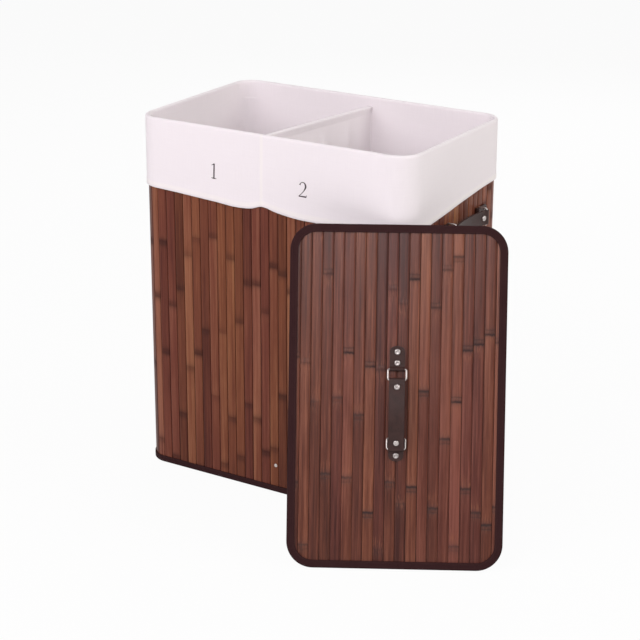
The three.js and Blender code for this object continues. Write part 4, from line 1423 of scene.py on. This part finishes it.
def tab_piece(handle, k):
    """A tab: a strip folded round the ring's bar, its two layers lying on each other under the rivets,
    with rounded corners at its end. Its rows stand closer together near the bar, and its section, one
    wide, is scaled to the tab's width at each row."""
    crowding = 1.6
    end = handle.ends[k]
    away = 1 - 2 * k
    loop = wire_radius + fit_gap + leather_thickness / 2
    low = fit_gap + leather_thickness / 2
    run = tab_end * np.linspace(1, 0, 26) ** crowding
    under = joined(run, low)
    angle = angles_between(-math.pi / 2, -3 * math.pi / 2, 13)
    turn = joined(loop * np.cos(angle), pivot_height + loop * np.sin(angle))
    back_run = run[::-1]
    rise = loop_offset(back_run, tab_loop_run, pivot_height + loop, low + leather_thickness)
    path = np.concatenate([under, turn, joined(back_run, rise)])
    section = strip_section(1.0)
    plane = carry_strip(path, np.gradient(path, axis=0), section)
    from_end = np.clip(tab_end - path[:, 0], 0, tab_end_radius)
    half = tab_width / 2 - tab_end_radius + np.sqrt(tab_end_radius ** 2 - (tab_end_radius - from_end) ** 2)
    across = 2 * np.clip(section[None, :, 0], -0.5, 0.5) * half[:, None]
    origin = handle.pivots[k] - handle.out * pivot_height
    points = handle.at(origin, across, away * plane[..., 0], plane[..., 1])
    rows, columns = points.shape[:2]
    caps = [np.arange(columns), (rows - 1) * columns + np.arange(columns)]
    piece = shell_piece(f"{handle.where}_{end}_leather_tab", points, leather_sharp, caps=caps)
    return dress(piece, leather, handle.body, [f"{handle.where}_{end}_tab"])


def ring_piece(handle, k):
    """A wire ring: a round section carried along a rounded rectangle between its two bars."""
    name = f"{handle.where}_{handle.ends[k]}_ring"
    depth = np.linalg.norm(handle.reach)
    half = ring_width / 2 - wire_radius
    knots = outline_knots((-half, 0), (half, depth), [ring_corner_radius] * 4)
    places = stretch_places(knots, ring_column_step, 9)
    point, normal = outline(knots, np.interp(places, np.arange(len(knots[0])), knots[0]))
    angle = np.linspace(0, 2 * math.pi, 16, endpoint=False)
    plan = point[:, None] + wire_radius * np.cos(angle)[None, :, None] * normal[:, None]
    rise = np.broadcast_to(wire_radius * np.sin(angle), plan.shape[:2])
    forward = handle.reach / depth
    upward = np.cross(handle.across, forward)
    points = (
        handle.pivots[k] + plan[..., :1] * handle.across + plan[..., 1:] * forward
        + rise[..., None] * upward
    )
    piece = shell_piece(f"{handle.where}_{handle.ends[k]}_wire_ring", points, wire_sharp, ring=True)
    return dress(piece, nickel, name, [name])


def rivet_piece(node_name, profile, origin, axis, body):
    """A rivet: a profile of radii and heights turned about an axis through the origin."""
    any_other_axis = [0.31, 0.17, 0.94]
    axis = unit(np.array(axis))
    side = unit(np.cross(axis, any_other_axis))
    angle = np.linspace(0, 2 * math.pi, 28, endpoint=False)
    circle = np.cos(angle)[:, None] * side + np.sin(angle)[:, None] * np.cross(axis, side)
    points = origin + profile[:, None, :1] * circle[None] + profile[:, None, 1:] * axis
    piece = shell_piece(f"{node_name}_head", points, rivet_sharp)
    return dress(piece, nickel, body, [node_name])


def rivet_profile(grip):
    """Radii and heights of a rivet whose head stands at height 0: a flat back, a shank, and a domed
    head with a hollow in its middle."""
    back = -grip - fit_gap
    dome = np.radians(np.linspace(0, 80, 7))
    rim = rivet_radius - rivet_dome_run
    head = joined(rim + rivet_dome_run * np.cos(dome), fit_gap + rivet_height * np.sin(dome))
    shank = np.array([(rivet_shank_radius, back), (rivet_shank_radius, fit_gap)])
    middle = np.array([(0, fit_gap + rivet_hollow_floor)])
    return np.concatenate([rivet_back + [0, back], shank, head, rivet_hollow + [rim, fit_gap], middle])


def handle_rivets(handle):
    """Two rivets through each tab and one through each end of the strap."""
    radius, half_angle, side = handle.arc()
    for k, end in enumerate(handle.ends):
        away = 1 - 2 * k
        for number, place in ((1, near_rivet), (2, far_rivet)):
            origin = handle.pivots[k] + handle.along * away * place + handle.out * (tab_top - pivot_height)
            profile = rivet_profile(tab_top + handle.grip)
            rivet_piece(f"{handle.where}_{end}_tab_rivet_{number}", profile, origin, handle.out, handle.body)
        phi = away * (half_angle - handle.strap_rivet / radius)
        normal = handle.along * side * math.sin(phi) + handle.out * math.cos(phi)
        rise = side * radius * (math.cos(phi) - math.cos(half_angle))
        origin = handle.middle + handle.along * radius * math.sin(phi) + handle.out * rise
        rivet_piece(
            f"{handle.where}_{end}_strap_rivet", rivet_profile(2 * leather_thickness),
            origin + normal * leather_thickness, normal, f"{handle.where}_strap",
        )


def bar_rivet_piece(name, side):
    """Rivet that holds the cross bar: a low round head outside the wall and a shank into the bar."""
    low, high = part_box(name)
    centre = (low + high) / 2
    head_top = fit_gap + bar_rivet_height
    tip = head_top - abs(low.y - high.y)
    dome = np.radians(np.linspace(0, 90, 7))
    head = joined(bar_rivet_radius * np.cos(dome), fit_gap + bar_rivet_height * np.sin(dome))
    shank = np.array([(0, tip), (rivet_shank_radius, tip), (rivet_shank_radius, fit_gap)])
    origin = np.array([centre.x, side * hamper_width / 2, centre.z])
    return rivet_piece(name, np.concatenate([shank, head]), origin, (0, side, 0), "hamper")


# Assembly

wall_slats()
wall_backing_cloth()
wall_tape("top_binding", "top_tape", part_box("top_tape")[1].z, -top_tape_height)
wall_tape("bottom_binding", "bottom_tape", 0, bottom_tape_height)
lid_slat_piece()
lid_binding()
lid_lining_cloth()

cuff_cloth()
bag_cloth("left_bag_cloth", "left_bag", -1)
bag_cloth("right_bag_cloth", "right_bag", 1)
divider_band()
printed_figure("figure_1", figure_one(), first_figure_place)
printed_figure("figure_2", figure_two(), second_figure_place)

for handle in (
    Handle("lid", "upper", "lower", lid_strap_bow, lid_strap_rivet, lid_slat_top, "lid"),
    Handle("right", "rear", "front", side_strap_bow, side_strap_rivet, wall_grip, "hamper"),
    Handle("left", "rear", "front", side_strap_bow, side_strap_rivet, wall_grip, "hamper"),
):
    strap_piece(handle)
    handle_rivets(handle)
    for k in (0, 1):
        tab_piece(handle, k)
        ring_piece(handle, k)
bar_rivet_piece("front_bar_rivet", -1)
bar_rivet_piece("back_bar_rivet", 1)

for node_name, material in (
    ("base_board", board), ("lid_board", board), ("base_cross_bar", bar_wood),
    ("top_wire_frame", steel), ("bottom_wire_frame", steel),
):
    cad_mesh = frame["nodes"][node_name].data
    cad_mesh.materials.clear()
    cad_mesh.materials.append(material)


# Stage

def seen_by(tree, *rays):
    """1 for rays of these kinds and 0 for others."""
    path = node(tree, "ShaderNodeLightPath")
    seen = [ShaderValue(path.outputs[f"Is {ray} Ray"]) for ray in rays]
    total = seen[0]
    for value in seen[1:]:
        total = maths("MAXIMUM", total, value)
    return total


def floor_material():
    """Pale floor that the camera, mirrors and glass see as nearly white, with the object's shadow."""
    material, tree = new_material("pale_floor")
    surface(material, Base_Color=colour(224, 224, 224), Roughness=0.9)
    direct = seen_by(tree, "Camera", "Glossy", "Transmission")
    white = node(tree, "ShaderNodeEmission", Color=(1, 1, 1, 1), Strength=1.0)
    mixed = node(tree, "ShaderNodeMixShader", Fac=direct * floor_white_share)
    tree.links.new(tree.nodes["Principled BSDF"].outputs[0], mixed.inputs[1])
    tree.links.new(white.outputs[0], mixed.inputs[2])
    tree.links.new(mixed.outputs[0], tree.nodes["Material Output"].inputs["Surface"])
    return material


def lay_floor():
    """Square floor, a little below the part's feet."""
    mesh = bpy.data.meshes.new("floor")
    corners = [(x * floor_reach, y * floor_reach, 0) for x, y in ((-1, -1), (1, -1), (1, 1), (-1, 1))]
    mesh.from_pydata(corners, [], [(0, 1, 2, 3)])
    floor = bpy.data.objects.new("floor", mesh)
    floor.location.z = -floor_drop
    mesh.materials.append(floor_material())
    bpy.context.scene.collection.objects.link(floor)


def light_world():
    """Soft light from all round, seen as white by the camera and through glass."""
    world = bpy.data.worlds.new("soft_room")
    world.use_nodes = True
    tree = world.node_tree
    direct = seen_by(tree, "Camera", "Transmission")
    feed_all(
        tree.nodes["Background"], Color=blend_colours(direct, room_colour, (1, 1, 1, 1)),
        Strength=value_range(direct, 0, 1, room_strength, 1.0),
    )
    bpy.context.scene.world = world


def soft_lamp(name, azimuth, elevation, distance, size, power, tint):
    """Square lamp that points at the hamper's middle from a direction given as for the camera."""
    lamp = bpy.data.lights.new(name, "AREA")
    lamp.size = size
    lamp.energy = power
    lamp.color = tint
    holder = bpy.data.objects.new(name, lamp)
    back = direction(math.radians(azimuth), math.radians(elevation))
    holder.matrix_world = looking(lamp_target + back * distance, back, 0)
    bpy.context.scene.collection.objects.link(holder)


def direction(azimuth, elevation):
    """Unit vector from the object towards a viewer at that azimuth and elevation."""
    return np.array([
        math.sin(azimuth) * math.cos(elevation), -math.cos(azimuth) * math.cos(elevation),
        math.sin(elevation),
    ])


def looking(place, back, roll):
    """Matrix of a camera or lamp at a place, with its back along the given vector."""
    right = unit(np.cross([0, 0, 1], back))
    up = np.cross(back, right)
    turned_right = right * math.cos(roll) + up * math.sin(roll)
    turned_up = up * math.cos(roll) - right * math.sin(roll)
    matrix = np.eye(4)
    matrix[:3] = joined(turned_right, turned_up, back, place)
    return Matrix(matrix.tolist())


def place_camera():
    """Camera that stands, turns and zooms as the photograph's did."""
    camera = bpy.data.objects.new("camera", bpy.data.cameras.new("camera"))
    camera.data.lens = camera_lens
    camera.data.clip_end = camera_reach
    back = direction(camera_azimuth, camera_elevation)
    camera.matrix_world = looking(camera_target + back * camera_distance, back, camera_roll)
    bpy.context.scene.collection.objects.link(camera)
    bpy.context.scene.camera = camera


lay_floor()
light_world()
for lamp_name, settings in lamps.items():
    soft_lamp(lamp_name, *settings)
place_camera()
bpy.context.scene.view_settings.view_transform = "Standard"
